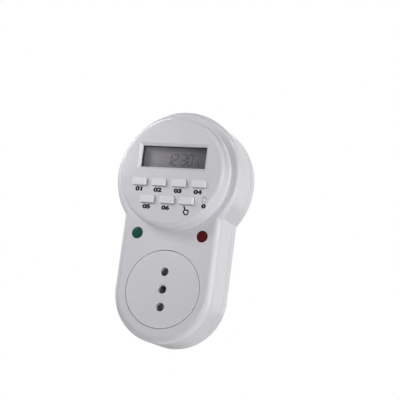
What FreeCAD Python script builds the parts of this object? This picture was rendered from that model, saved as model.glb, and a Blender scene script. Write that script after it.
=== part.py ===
"""Digital weekly timer that plugs into a wall outlet and switches the socket on its own front.

Sizes are in millimetres. X runs to the right, Z up, and Y from the front towards the wall.
The origin is the root of the earth pin, on the face that meets the wall.
"""
import FreeCAD
import Part
import math
import os
from FreeCAD import Vector

# Case
body_half_width = 28.3
body_round_z = -0.5
body_depth = 28.0
body_edge_round = 4.0
head_z = 62.4
head_base_radius = 35.7
head_base_round = 2.4
ledge_width = 5.4
drum_draft = 0.5
drum_rise = 9.2
drum_edge_round = 2.0
drum_foot_round = 0.8
wall = 2.0
rear_cover_depth = 8.0
rear_floor = 2.2
rear_edge_round = 2.5
plug_pad_margin = 0.9
plug_pad_rise = 1.0
plug_pad_chamfer = 0.4
seam_gap = 0.25
tongue_length = 2.2
tongue_clearance = 0.1

# Screws that hold the case together, driven from the back
case_screw_shank_radius = 1.4
case_screw_length = 12.0
case_screw_head_radius = 2.8
case_screw_head_height = 1.8
screw_fit_clearance = 0.02
screw_free_clearance = 0.25
screw_point_length = 1.5
screw_point_radius = 0.35
screw_slot_length = 3.4
screw_slot_width = 0.7
screw_slot_depth = 0.9
well_depth = 4.5
well_clearance = 0.5
well_wall = 1.3
front_post_radius = 3.0
pilot_extra_depth = 1.0
top_screw_inset = 8.2
top_screw_gap = 0.3
middle_screw_gap = 1.6
middle_screw_angle = 40.0
foot_screw_angle = -46.0
post_web_thickness = 1.4

# Outlet on the front: a round insert with three holes in line
socket_radius = 21.1
socket_gap = 0.3
insert_flange_width = 1.9
insert_flange_thickness = 1.2
insert_edge_chamfer = 0.35
pin_pitch = 9.5
hole_radius = 2.3
hole_chamfer = 0.35
insert_boss_radius = 2.8
insert_boss_margin = 0.2
insert_boss_depth = 12.8

# Safety shutter behind the live holes
shutter_depth = 6.0
shutter_clearance = 0.2
shutter_cover_margin = 0.3
shutter_lip = 0.6
shutter_block_half_height = 2.9
shutter_web_width = 2.5
shutter_web_offset = 1.5
guide_rail_width = 1.4
guide_rail_lead = 2.4
spring_thickness = 0.4
spring_width = 4.0
spring_half_chord = 8.0
spring_bow = 8.0
spring_seat_gap = 0.05
spring_stop_thickness = 1.5
spring_stop_overhang = 1.0

# Holder for the outlet contacts
holder_bar_gap = 1.1
holder_half_width = 12.0
holder_half_height = 13.5
holder_plate = 2.0
holder_pocket = 6.6
holder_boss_clearance = 0.3
cradle_rib_thickness = 1.6
cradle_rib_inset = 0.4
cradle_rib_bottom = -9.0

# Plug pins and current path
pin_radius = 2.0
pin_length = 19.0
pin_tip_round = 1.0
pin_neck_radius = 1.4
pin_sleeve_radius = 1.8
pin_sleeve_length = 10.0
pin_shank_radius = 2.4
pin_hole_clearance = 0.02
pin_collar_radius = 3.2
pin_collar_thickness = 1.2
rivet_radius = 1.2
rivet_clearance = 0.02
rivet_head_radius = 1.7
rivet_head_height = 0.6
contact_inner_radius = 2.05
contact_thickness = 0.7
contact_base_thickness = 1.2
welded_base_thickness = 0.7
contact_slot = 0.8
contact_setback = 0.4
busbar_thickness = 0.8
busbar_width = 5.0
switched_bar_gap = 1.3
neutral_bar_width = 2.8
neutral_bar_offset = 7.6
bar_tab_width = 2.6
bar_tab_stand = 1.2
bar_tab_inset = 3.6
bar_solder_length = 2.4
board_slot_clearance = 0.3

# Indicator lenses and lamps
lens_radius = 3.2
lens_gap = 0.1
lens_side_gap = 3.6
lens_drum_gap = 4.17
lens_flange_width = 0.8
lens_flange_thickness = 0.8
lens_pipe_radius = 2.6
lens_pipe_length = 2.6
lamp_gap = 0.6
lamp_radius = 1.5
lamp_length = 5.0
lamp_rim_radius = 1.9
lamp_rim_thickness = 0.8
lamp_lead_size = 0.5
lamp_lead_pitch = 2.54

# Display stack
display_corner_gap = 1.5
display_height = 11.8
display_rise = 8.0
display_bevel = 1.3
display_bevel_depth = 1.1
window_thickness = 1.5
window_overlap = 2.0
shroud_depth = 2.0
shroud_inner_step = 0.2
shroud_overlap = 2.25
display_rib_gap = 0.2
display_rib_thickness = 1.0
glass_thickness = 2.2
glass_ledge = 0.6
strip_height = 2.2
strip_thickness = 1.8
strip_margin = 1.2

# Keys
key_width = 8.0
key_height = 4.0
key_stand = 1.8
key_gap = 0.25
key_corner_round = 0.7
key_top_round = 0.3
key_pitch = 11.33
upper_key_drop = 6.5
lower_key_drop = 15.9
key_flange_width = 0.9
key_flange_thickness = 0.8
key_flange_gap = 0.05
key_plunger_radius = 1.2
upper_key_count = 4
lower_key_count = 3
mat_thickness = 0.8
mat_inset = 1.0
mat_side_border = 2.5
mat_border = 3.3
dome_foot_radius = 3.0
dome_top_radius = 1.8
dome_height = 2.3
dome_wall = 0.5
reset_angle = -35.4
reset_wall_gap = 0.4
reset_hole_radius = 1.45
reset_pin_radius = 1.2
reset_sink = 0.4
reset_flange_radius = 1.9
reset_dome_foot_radius = 1.45
reset_dome_top_radius = 1.0

# Circuit boards
board_thickness = 1.6
control_board_gap = 0.8
control_post_radius = 2.3
control_post_inset = 2.5
control_post_angles = (5.0, 90.0, 175.0)
control_foot_post_gap = 0.8
board_screw_radius = 0.95
board_screw_length = 5.0
board_screw_head_radius = 1.9
board_screw_head_height = 1.2
power_board_stand = 8.0
power_board_gap = 4.2
power_board_side_gap = 3.3
lamp_board_margin = 5.2
power_post_radius = 2.4
power_post_inset = 3.4
power_post_angles = (90.0, 185.5, 354.5)
power_foot_post_x = 13.0
power_foot_post_rise = 2.7
board_notch_clearance = 0.5

# Parts on the boards
relay_width = 19.0
relay_length = 15.5
relay_top_gap = 1.5
relay_bar_gap = 2.15
relay_edge_round = 0.8
dropper_width = 18.0
dropper_length = 8.5
dropper_height = 13.5
dropper_relay_gap = 2.5
dropper_edge_round = 0.8
large_capacitor_x = 17.0
large_capacitor_drop = 19.4
large_capacitor_radius = 5.0
large_capacitor_height = 12.5
small_capacitor_x = 17.5
small_capacitor_drop = 7.4
small_capacitor_radius = 4.0
small_capacitor_height = 11.0
capacitor_groove = 0.4
capacitor_groove_height = 1.6
varistor_radius = 5.0
varistor_thickness = 4.0
varistor_x = -18.5
varistor_drop = 21.9
varistor_stand = 1.0
lead_size = 0.7
diode_radius = 1.35
diode_length = 5.2
diode_x = -8.0
diode_first_rise = 1.6
diode_pitch = 4.5
diode_count = 4
resistor_radius = 1.25
resistor_length = 6.3
resistor_x = 8.0
resistor_first_rise = 1.6
resistor_pitch = 5.5
resistor_count = 3
axial_lead_reach = 1.6
transistor_radius = 2.3
transistor_height = 4.6
transistor_stand = 2.0
transistor_flat = 1.3
transistor_x = 18.0
transistor_rise = 3.6
chip_foot_radius = 5.5
chip_top_radius = 4.2
chip_height = 1.4
chip_x = 4.0
chip_rise = 3.6
crystal_radius = 1.0
crystal_length = 6.0
crystal_x = 12.0
crystal_rise = 12.0
cell_radius = 6.0
cell_thickness = 5.2
cell_edge_round = 0.6
cell_x = -8.0
cell_rise = 12.0
tab_thickness = 0.4
tab_width = 3.0
tab_overhang = 1.6
link_inset = 7.0
link_rise = 2.6
link_count = 6
link_pitch = 2.54
link_pin_size = 0.64
link_strip_size = 2.5
link_clearance = 0.04

# Levels along Y, from the wall to the front
wall_y = 0.0
back_y = wall_y - plug_pad_rise
floor_y = back_y - rear_floor
seam_y = back_y - rear_cover_depth
face_y = wall_y - body_depth
face_inner_y = face_y + wall
head_y = face_y - drum_rise
head_inner_y = head_y + wall
well_floor_y = back_y - well_depth
insert_back_y = face_inner_y + insert_flange_thickness
boss_end_y = insert_back_y + insert_boss_depth
shutter_front_y = insert_back_y + shutter_clearance
shutter_back_y = shutter_front_y + shutter_depth
holder_front_y = shutter_back_y + shutter_clearance
power_front_y = wall_y - power_board_stand
power_back_y = power_front_y + board_thickness
collar_top_y = floor_y - pin_collar_thickness
lower_bar_y = collar_top_y - busbar_thickness
window_back_y = head_inner_y + window_thickness
shroud_back_y = window_back_y + shroud_depth
glass_back_y = shroud_back_y + glass_thickness
control_front_y = glass_back_y + strip_height
control_back_y = control_front_y + board_thickness
switched_bar_y = lower_bar_y - rivet_head_height - switched_bar_gap - busbar_thickness
holder_back_y = switched_bar_y - holder_bar_gap
dome_top_y = control_front_y - mat_thickness - dome_height
plunger_end_y = dome_top_y - key_flange_gap
relay_top_y = control_back_y + board_screw_head_height + relay_top_gap

# Sizes that follow from those above
drum_foot_radius = head_base_radius - ledge_width
drum_face_radius = drum_foot_radius - drum_draft
drum_inner_radius = drum_face_radius - wall
insert_flange_radius = socket_radius + insert_flange_width
well_radius = case_screw_head_radius + well_clearance
foot_screw_reach = insert_flange_radius - insert_boss_radius - insert_boss_margin
plug_pad_radius = foot_screw_reach + well_radius + plug_pad_margin
control_board_radius = drum_inner_radius - control_board_gap
mat_radius = control_board_radius - mat_inset
power_board_radius = head_base_radius - wall - power_board_gap
power_board_half_width = body_half_width - wall - power_board_side_gap
display_corner_rise = display_rise + display_height / 2 + shroud_overlap
display_corner_x = math.sqrt((drum_inner_radius - display_corner_gap) ** 2 - display_corner_rise ** 2)
display_width = 2 * (display_corner_x - shroud_overlap)
contact_radius = contact_inner_radius + contact_thickness
top_screw_rise = display_corner_rise + front_post_radius + top_screw_gap
top_screw_x = math.sqrt((head_base_radius - top_screw_inset) ** 2 - top_screw_rise ** 2)
control_foot_post_drop = (lower_key_drop + key_height / 2 + key_flange_width
                          + control_foot_post_gap + control_post_radius)


def around(reach, degrees, z=0.0):
    """Place at a distance and an angle from the middle of the outlet, or from the height z above it."""
    angle = math.radians(degrees)
    return reach * math.cos(angle), z + reach * math.sin(angle)


def pair(place):
    """A place and its mirror image on the left."""
    return [(-place[0], place[1]), place]


# Places that several pieces share
lens_x = body_half_width - wall - lens_side_gap - lens_radius - lens_flange_width
lens_z = head_z - math.sqrt((drum_foot_radius + lens_radius + lens_drum_gap) ** 2 - lens_x ** 2)
display_z = head_z + display_rise
upper_key_z = head_z - upper_key_drop
lower_key_z = head_z - lower_key_drop
reset_x, reset_z = around(drum_inner_radius - reset_flange_radius - reset_wall_gap, reset_angle, head_z)
power_board_bottom_z = lens_z - lamp_board_margin
bar_top_z = power_board_bottom_z + bar_tab_inset + busbar_thickness
top_screws = pair((top_screw_x, head_z + top_screw_rise))
middle_screws = pair(around(insert_flange_radius + front_post_radius + middle_screw_gap, middle_screw_angle))
foot_screws = pair(around(foot_screw_reach, foot_screw_angle))
pin_places = (-pin_pitch, 0, pin_pitch)
control_post_reach = control_board_radius - control_post_inset
control_posts = [around(control_post_reach, angle, head_z) for angle in control_post_angles]
control_posts.append((0.0, head_z - control_foot_post_drop))
power_post_reach = power_board_radius - power_post_inset
power_posts = [around(power_post_reach, angle, head_z) for angle in power_post_angles]
power_posts += pair((power_foot_post_x, power_board_bottom_z + power_foot_post_rise))
large_capacitor_place = (large_capacitor_x, head_z - large_capacitor_drop)
small_capacitor_place = (small_capacitor_x, head_z - small_capacitor_drop)
relay_z = bar_top_z + relay_bar_gap + relay_length / 2
dropper_z = relay_z + (relay_length + dropper_length) / 2 + dropper_relay_gap
varistor_z = head_z - varistor_drop
diode_first_z = head_z + diode_first_rise
resistor_first_z = head_z + resistor_first_rise
transistor_z = head_z + transistor_rise
chip_z = head_z + chip_rise
crystal_z = head_z + crystal_rise
cell_z = head_z + cell_rise
link_x = -(control_board_radius - link_inset)
link_z = head_z + link_rise
shutter_travel = 2 * hole_radius + 2 * shutter_cover_margin - shutter_clearance
shutter_edge_x = -hole_radius - shutter_cover_margin
shutter_open_x = shutter_edge_x + shutter_travel
shutter_web_x = shutter_open_x + shutter_web_offset
shutter_right_x = shutter_web_x + shutter_web_width
shutter_half_span = pin_pitch + shutter_block_half_height
spring_stop_x = shutter_right_x + spring_bow + 2 * spring_seat_gap
tiny = 1e-4
circle_samples = 5


def row_places(count, z):
    """Centres of one row of keys, spread evenly about the middle."""
    first = -(count - 1) * key_pitch / 2
    return [(first + i * key_pitch, z) for i in range(count)]


key_places = row_places(upper_key_count, upper_key_z) + row_places(lower_key_count, lower_key_z)
mat_half_width = max(x for x, z in key_places) + key_width / 2 + mat_side_border


def rod(x, z, radius, y0, y1):
    """Round bar along Y."""
    return Part.makeCylinder(radius, y1 - y0, Vector(x, y0, z), Vector(0, 1, 0))


def taper(x, z, radius0, radius1, y0, y1):
    """Round taper along Y, radius0 at y0 and radius1 at y1."""
    return Part.makeCone(radius0, radius1, y1 - y0, Vector(x, y0, z), Vector(0, 1, 0))


def brick(x0, x1, y0, y1, z0, z1):
    """Square block between two corners."""
    return Part.makeBox(x1 - x0, y1 - y0, z1 - z0, Vector(x0, y0, z0))


def slab(x, z, width, height, y0, y1):
    """Square block centred on a point of the front."""
    return brick(x - width / 2, x + width / 2, y0, y1, z - height / 2, z + height / 2)


def rectangle(x, z, width, height, y):
    """Closed rectangle in a plane of constant Y."""
    xs = (x - width / 2, x + width / 2)
    zs = (z - height / 2, z + height / 2)
    places = ((xs[0], zs[0]), (xs[1], zs[0]), (xs[1], zs[1]), (xs[0], zs[1]))
    corners = [Vector(px, y, pz) for px, pz in places]
    return Part.makePolygon(corners + corners[:1])


def joined(shapes):
    """One solid from pieces that touch."""
    return shapes[0].fuse(shapes[1:]).removeSplitter()


def edges_in_plane(shape, y, top_z=None):
    """Edges that lie at one level, leaving out those above top_z."""
    flat = [e for e in shape.Edges if abs(e.BoundBox.YMin - y) < tiny and abs(e.BoundBox.YMax - y) < tiny]
    return [e for e in flat if top_z is None or e.BoundBox.ZMin < top_z - tiny]


def edges_along_y(shape):
    """Straight edges that run from front to back."""
    return [e for e in shape.Edges if e.BoundBox.XLength < tiny and e.BoundBox.ZLength < tiny]


def runs_round_head(edge, radius):
    """True for an edge that keeps one distance from the middle of the head."""
    reach = [math.hypot(p.x, p.z - head_z) for p in edge.discretize(Number=circle_samples)]
    return all(abs(r - radius) < tiny * radius for r in reach)


def body_prism(inset, y0, y1):
    """Lower body: straight sides and a round lower end. Its straight top lies inside the head."""
    side = body_half_width - inset
    left_top = Vector(-side, y0, head_z)
    left = Vector(-side, y0, body_round_z)
    lowest = Vector(0, y0, body_round_z - side)
    right = Vector(side, y0, body_round_z)
    right_top = Vector(side, y0, head_z)
    edges = [
        Part.LineSegment(left_top, left).toShape(),
        Part.Arc(left, lowest, right).toShape(),
        Part.LineSegment(right, right_top).toShape(),
        Part.LineSegment(right_top, left_top).toShape(),
    ]
    return Part.Face(Part.Wire(edges)).extrude(Vector(0, y1 - y0, 0))


def case_prism(inset, y0, y1):
    """Whole outline of the case, taken in by inset: the lower body and the round head."""
    return joined([body_prism(inset, y0, y1), rod(0, head_z, head_base_radius - inset, y0, y1)])


def rounded_case(y0, y1, round_y, body_round, head_round, inset=0.0):
    """Case outline with its body and head rounded at one end."""
    body = body_prism(inset, y0, y1)
    body = body.makeFillet(body_round, edges_in_plane(body, round_y, head_z))
    head = rod(0, head_z, head_base_radius - inset, y0, y1)
    if head_round > 0:
        head = head.makeFillet(head_round, edges_in_plane(head, round_y))
    return joined([body, head])


def pilot_hole(x, z, y1):
    """Hole that a case screw cuts its thread in, opening at y1."""
    screw_tip_y = well_floor_y - case_screw_length
    return rod(x, z, case_screw_shank_radius + screw_fit_clearance, screw_tip_y - pilot_extra_depth, y1)


def post_web(x, z, y0, y1, towards_x):
    """Thin wall that ties a post to the side of the case."""
    low, high = sorted((x, towards_x))
    return brick(low, high, y0, y1, z - post_web_thickness / 2, z + post_web_thickness / 2)


def make_front_cover():
    """Front cover: deep lower body, ledge and raised drum, hollow, with every opening of the front."""
    body = rounded_case(face_y, seam_y, face_y, body_edge_round, head_base_round)
    drum = taper(0, head_z, drum_face_radius, drum_foot_radius, head_y, face_y)
    drum = drum.makeFillet(drum_edge_round, edges_in_plane(drum, head_y))
    outside = joined([body, drum])
    foot = [e for e in edges_in_plane(outside, face_y) if runs_round_head(e, drum_foot_radius)]
    outside = outside.makeFillet(drum_foot_round, foot)
    cavity = rounded_case(face_inner_y, seam_y, face_inner_y, body_edge_round - wall, 0.0, wall)
    drum_cavity = taper(0, head_z, drum_face_radius - wall, drum_foot_radius - wall,
                        head_inner_y, face_inner_y)
    shell = outside.cut([cavity, drum_cavity])

    inner_side = body_half_width - wall / 2
    posts = [rod(x, z, front_post_radius, head_inner_y, seam_y) for x, z in top_screws]
    posts += [rod(x, z, front_post_radius, face_inner_y, seam_y) for x, z in middle_screws]
    posts += [post_web(x, z, face_inner_y, seam_y - tongue_length, math.copysign(inner_side, x))
              for x, z in middle_screws]
    posts += [rod(x, z, control_post_radius, head_inner_y, control_front_y) for x, z in control_posts]
    rib_x = display_width / 2 + shroud_overlap + display_rib_gap
    posts += [slab(side * (rib_x + display_rib_thickness / 2), display_z, display_rib_thickness,
                   display_height, head_inner_y, glass_back_y) for side in (-1, 1)]
    posts = [post.common(outside) for post in posts]
    shell = shell.fuse(posts).removeSplitter()

    cuts = [rod(0, 0, socket_radius + socket_gap / 2, face_y, face_inner_y)]
    cuts += [rod(side * lens_x, lens_z, lens_radius, face_y, face_inner_y) for side in (-1, 1)]
    cuts += [slab(x, z, key_width + 2 * key_gap, key_height + 2 * key_gap, head_y, head_inner_y)
             for x, z in key_places]
    cuts += [rod(reset_x, reset_z, reset_hole_radius, head_y, head_inner_y)]
    cuts += [display_opening()]
    cuts += [pilot_hole(x, z, seam_y) for x, z in top_screws + middle_screws]
    cuts += [rod(x, z, board_screw_radius + screw_fit_clearance,
                 control_back_y - board_screw_length, control_front_y) for x, z in control_posts]
    groove = case_prism(wall / 2, seam_y - tongue_length, seam_y)
    cuts += [groove.cut(case_prism(wall, seam_y - tongue_length, seam_y))]
    return shell.cut(cuts)


def display_opening():
    """Opening over the display, with a bevel that widens it towards the front."""
    outer = rectangle(0, display_z, display_width + 2 * display_bevel, display_height + 2 * display_bevel,
                      head_y)
    inner = rectangle(0, display_z, display_width, display_height, head_y + display_bevel_depth)
    bevel = Part.makeLoft([outer, inner], True, True)
    through = slab(0, display_z, display_width, display_height, head_y, head_inner_y)
    return joined([bevel, through])


def well_top(x, z, top_y):
    """Tubular post of the rear cover that a case screw goes through, up to top_y."""
    stout = rod(x, z, well_radius + well_wall, well_floor_y - well_wall, floor_y)
    slim = rod(x, z, well_radius, top_y, floor_y)
    return joined([stout, slim])


def well_cuts(x, z, top_y):
    """Recess for a case screw's head, open at the back, and the free hole for its shank."""
    head = rod(x, z, well_radius, well_floor_y, wall_y)
    shank = rod(x, z, case_screw_shank_radius + screw_free_clearance, top_y, wall_y)
    return [head, shank]


def make_rear_cover():
    """Rear cover: shallow tray with a raised pad around the plug pins."""
    tray = rounded_case(seam_y + seam_gap, back_y, back_y, rear_edge_round, rear_edge_round)
    cavity = case_prism(wall, seam_y + seam_gap, floor_y)
    tray = tray.cut(cavity)
    tongue = case_prism(wall / 2 + tongue_clearance, seam_y - tongue_length, seam_y + seam_gap)
    tongue = tongue.cut(case_prism(wall, seam_y - tongue_length, seam_y + seam_gap))
    pad = rod(0, 0, plug_pad_radius, back_y, wall_y)
    pad = pad.makeChamfer(plug_pad_chamfer, edges_in_plane(pad, wall_y))
    wells = [well_top(x, z, seam_y) for x, z in top_screws + middle_screws]
    wells += [well_top(x, z, boss_end_y) for x, z in foot_screws]
    rib_x = holder_half_width - cradle_rib_inset - cradle_rib_thickness
    ribs = []
    for side in (-1, 1):
        low, high = sorted((side * rib_x, side * (rib_x + cradle_rib_thickness)))
        ribs.append(brick(low, high, holder_back_y, floor_y, cradle_rib_bottom, holder_half_height))
    board_posts = [rod(x, z, power_post_radius, power_back_y, floor_y) for x, z in power_posts]
    tray = tray.fuse([tongue, pad] + wells + ribs + board_posts).removeSplitter()
    cuts = []
    for x, z in top_screws + middle_screws:
        cuts += well_cuts(x, z, seam_y)
    for x, z in foot_screws:
        cuts += well_cuts(x, z, boss_end_y)
    cuts += [rod(0, z, pin_shank_radius + pin_hole_clearance, floor_y, wall_y) for z in pin_places]
    cuts += [rod(x, z, board_screw_radius + screw_fit_clearance,
                 power_back_y, power_front_y + board_screw_length) for x, z in power_posts]
    return tray.cut(cuts)


def make_case_screws():
    """Six self-tapping screws with a crossed slot, all alike."""
    screws = []
    for x, z in top_screws + middle_screws + foot_screws:
        tip_y = well_floor_y - case_screw_length
        head = rod(x, z, case_screw_head_radius, well_floor_y, well_floor_y + case_screw_head_height)
        shank = rod(x, z, case_screw_shank_radius, tip_y + screw_point_length, well_floor_y)
        point = taper(x, z, screw_point_radius, case_screw_shank_radius, tip_y, tip_y + screw_point_length)
        top_y = well_floor_y + case_screw_head_height
        slots = [slab(x, z, screw_slot_length, screw_slot_width, top_y - screw_slot_depth, top_y),
                 slab(x, z, screw_slot_width, screw_slot_length, top_y - screw_slot_depth, top_y)]
        screws.append(joined([head, shank, point]).cut(slots))
    return Part.makeCompound(screws)


def make_socket_insert():
    """Round face of the outlet, flush in the front cover and held by its flange from inside."""
    disc = rod(0, 0, socket_radius - socket_gap / 2, face_y, insert_back_y)
    disc = disc.makeChamfer(insert_edge_chamfer, edges_in_plane(disc, face_y))
    flange = rod(0, 0, insert_flange_radius, face_inner_y, insert_back_y)
    bosses = [rod(x, z, insert_boss_radius, insert_back_y, boss_end_y) for x, z in foot_screws]
    insert = joined([disc, flange] + bosses)
    cuts = [pilot_hole(x, z, boss_end_y) for x, z in foot_screws]
    for z in pin_places:
        cuts.append(rod(0, z, hole_radius, face_y, insert_back_y))
        cuts.append(taper(0, z, hole_radius + hole_chamfer, hole_radius, face_y, face_y + hole_chamfer))
    return insert.cut(cuts)


def make_shutter():
    """Sliding shutter: two ramped blocks behind the live holes, joined by a web beside the earth hole."""
    profile = [
        Vector(shutter_edge_x, shutter_back_y, 0),
        Vector(shutter_edge_x, shutter_back_y - shutter_lip, 0),
        Vector(shutter_open_x, shutter_front_y, 0),
        Vector(shutter_right_x, shutter_front_y, 0),
        Vector(shutter_right_x, shutter_back_y, 0),
    ]
    face = Part.Face(Part.makePolygon(profile + profile[:1]))
    blocks = []
    for z in (-pin_pitch, pin_pitch):
        block = face.extrude(Vector(0, 0, 2 * shutter_block_half_height))
        block.translate(Vector(0, 0, z - shutter_block_half_height))
        blocks.append(block)
    web = brick(shutter_web_x, shutter_right_x, shutter_front_y, shutter_back_y,
                -shutter_half_span, shutter_half_span)
    return joined(blocks + [web])


def make_shutter_spring():
    """Bowed leaf that pushes the shutter closed, resting on the stop of the contact holder."""
    crown_x = shutter_right_x + spring_seat_gap
    end_x = crown_x + spring_bow
    middle_y = (shutter_front_y + shutter_back_y) / 2

    def bow(offset):
        """One side of the leaf, as an arc through its two ends and its crown."""
        return (Vector(end_x, middle_y - spring_width / 2, -spring_half_chord + offset),
                Vector(crown_x + offset, middle_y - spring_width / 2, 0),
                Vector(end_x, middle_y - spring_width / 2, spring_half_chord - offset))

    outer = bow(0.0)
    inner = bow(spring_thickness)
    edges = [
        Part.Arc(*outer).toShape(),
        Part.LineSegment(outer[2], inner[2]).toShape(),
        Part.Arc(*inner).toShape(),
        Part.LineSegment(inner[0], outer[0]).toShape(),
    ]
    leaf = Part.Face(Part.Wire(Part.__sortEdges__(edges)))
    return leaf.extrude(Vector(0, spring_width, 0))


def make_contact_holder():
    """Insulating block behind the outlet, with contact pockets and the shutter's rails and stop."""
    block = brick(-holder_half_width, holder_half_width, holder_front_y, holder_back_y,
                  -holder_half_height, holder_half_height)
    rail_low = shutter_half_span + shutter_clearance
    rail_top_y = insert_back_y + shutter_clearance / 2
    rail_end_x = shutter_right_x + shutter_travel
    rails = []
    for side in (-1, 1):
        low, high = sorted((side * rail_low, side * (rail_low + guide_rail_width)))
        rails.append(brick(shutter_edge_x - guide_rail_lead, rail_end_x, rail_top_y, holder_back_y,
                           low, high))
    stop_half = spring_half_chord + spring_stop_overhang
    stop_end_x = spring_stop_x + spring_stop_thickness
    shelf_back_y = holder_front_y + holder_plate
    stop = brick(spring_stop_x, stop_end_x, rail_top_y, shelf_back_y, -stop_half, stop_half)
    shelf = brick(0, stop_end_x, holder_front_y, shelf_back_y, -stop_half, stop_half)
    holder = joined([block, stop, shelf] + rails)
    cuts = [slab(0, z, holder_pocket, holder_pocket, holder_front_y, holder_back_y)
            for z in pin_places]
    boss_room = max(insert_boss_radius, well_radius) + holder_boss_clearance
    cuts += [rod(x, z, boss_room, rail_top_y, holder_back_y) for x, z in foot_screws]
    return holder.cut(cuts)


def plug_pin(z, tail_top_y, sleeved):
    """Brass pin set in the rear cover from inside, with a riveted tail."""
    shank = rod(0, z, pin_shank_radius, floor_y, wall_y)
    collar = rod(0, z, pin_collar_radius, collar_top_y, floor_y)
    tail = rod(0, z, rivet_radius, tail_top_y, collar_top_y)
    rivet = rod(0, z, rivet_head_radius, tail_top_y - rivet_head_height, tail_top_y)
    bare_start = wall_y + pin_sleeve_length if sleeved else wall_y
    bare = rod(0, z, pin_radius, bare_start, wall_y + pin_length)
    bare = bare.makeFillet(pin_tip_round, edges_in_plane(bare, wall_y + pin_length))
    pieces = [shank, collar, tail, rivet, bare]
    if sleeved:
        pieces.append(rod(0, z, pin_neck_radius, wall_y, bare_start))
    return joined(pieces)


def pin_sleeve(z):
    """Insulating sleeve over the root of a live pin."""
    outer = rod(0, z, pin_sleeve_radius, wall_y, wall_y + pin_sleeve_length)
    return outer.cut(rod(0, z, pin_neck_radius, wall_y, wall_y + pin_sleeve_length))


def outlet_contact(z, base_y, base_thickness):
    """Split brass socket for a pin, closed by a base whose back is at base_y."""
    front_y = holder_front_y + contact_setback
    outer = rod(0, z, contact_radius, front_y, base_y)
    bore = rod(0, z, contact_inner_radius, front_y, base_y - base_thickness)
    slot = slab(0, z, 2 * contact_radius, contact_slot, front_y, base_y - base_thickness - contact_slot)
    return outer.cut([bore, slot])


def rivet_hole(z, y0, y1):
    """Hole for a riveted tail."""
    return rod(0, z, rivet_radius + rivet_clearance, y0, y1)


def riveted_contact(z, base_y):
    """Outlet contact with a hole in its base for the tail of a pin."""
    hole = rivet_hole(z, base_y - contact_base_thickness, base_y)
    return outlet_contact(z, base_y, contact_base_thickness).cut(hole)


def make_line_contact():
    """Switched contact: welded to its own busbar, clear of the line pin behind it."""
    return outlet_contact(pin_pitch, switched_bar_y, welded_base_thickness)


def board_tab(x):
    """Tab at the end of a busbar, turned forward through the power board."""
    half = bar_tab_width / 2
    front = power_front_y - bar_tab_stand
    return brick(x - half, x + half, front, collar_top_y, bar_top_z - busbar_thickness, bar_top_z)


def make_line_busbar():
    """Strip from the line pin up to the power board."""
    strip = brick(-busbar_width / 2, busbar_width / 2, lower_bar_y, collar_top_y,
                  pin_pitch - pin_collar_radius, bar_top_z)
    return joined([strip, board_tab(0)]).cut(rivet_hole(pin_pitch, lower_bar_y, collar_top_y))


def make_switched_busbar():
    """Bent strip from the front of the power board down and back to the switched contact."""
    low_z = pin_pitch - contact_radius
    step_z = power_board_bottom_z - busbar_thickness - board_slot_clearance
    high_z = power_board_bottom_z + bar_solder_length
    board_y = power_front_y - busbar_thickness
    bar_back_y = switched_bar_y + busbar_thickness
    profile = [
        Vector(-busbar_width / 2, switched_bar_y, low_z),
        Vector(-busbar_width / 2, switched_bar_y, step_z - busbar_thickness),
        Vector(-busbar_width / 2, board_y, step_z - busbar_thickness),
        Vector(-busbar_width / 2, board_y, high_z),
        Vector(-busbar_width / 2, power_front_y, high_z),
        Vector(-busbar_width / 2, power_front_y, step_z),
        Vector(-busbar_width / 2, bar_back_y, step_z),
        Vector(-busbar_width / 2, bar_back_y, low_z),
    ]
    return Part.Face(Part.makePolygon(profile + profile[:1])).extrude(Vector(busbar_width, 0, 0))


def make_neutral_busbar():
    """Strip from the neutral pin, around the other pins and up to the power board."""
    low_z = -pin_pitch - busbar_width / 2
    left = -neutral_bar_offset - neutral_bar_width / 2
    foot = brick(left, busbar_width / 2, lower_bar_y, collar_top_y, low_z, low_z + busbar_width)
    riser = brick(left, left + neutral_bar_width, lower_bar_y, collar_top_y, low_z, bar_top_z)
    bar = joined([foot, riser, board_tab(-neutral_bar_offset)])
    return bar.cut(rivet_hole(-pin_pitch, lower_bar_y, collar_top_y))


def indicator_lens(x):
    """Coloured lens, flush with the face, with a flange inside and a short light pipe."""
    disc = rod(x, lens_z, lens_radius - lens_gap, face_y, face_inner_y)
    flange_back_y = face_inner_y + lens_flange_thickness
    flange = rod(x, lens_z, lens_radius + lens_flange_width, face_inner_y, flange_back_y)
    pipe = rod(x, lens_z, lens_pipe_radius, face_inner_y, flange_back_y + lens_pipe_length)
    return joined([disc, flange, pipe])


def indicator_lamp(x):
    """Lamp on two stiff leads that stand on the power board behind a lens."""
    top_y = face_inner_y + lens_flange_thickness + lens_pipe_length + lamp_gap
    shoulder_y = top_y + lamp_radius
    base_y = top_y + lamp_length
    body = rod(x, lens_z, lamp_radius, shoulder_y, base_y)
    dome = Part.makeSphere(lamp_radius, Vector(x, shoulder_y, lens_z))
    rim = rod(x, lens_z, lamp_rim_radius, base_y - lamp_rim_thickness, base_y)
    leads = [slab(x + side * lamp_lead_pitch / 2, lens_z, lamp_lead_size, lamp_lead_size,
                  base_y, power_front_y) for side in (-1, 1)]
    return joined([body, dome, rim] + leads)


def make_window():
    """Clear pane behind the display opening."""
    width = display_width + 2 * window_overlap
    height = display_height + 2 * window_overlap
    return slab(0, display_z, width, height, head_inner_y, window_back_y)


def make_display_shroud():
    """Black frame that keeps the display glass behind the window."""
    width = display_width + 2 * shroud_overlap
    height = display_height + 2 * shroud_overlap
    frame = slab(0, display_z, width, height, window_back_y, shroud_back_y)
    inner_width = display_width + 2 * shroud_inner_step
    inner_height = display_height + 2 * shroud_inner_step
    return frame.cut(slab(0, display_z, inner_width, inner_height, window_back_y, shroud_back_y))


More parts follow.
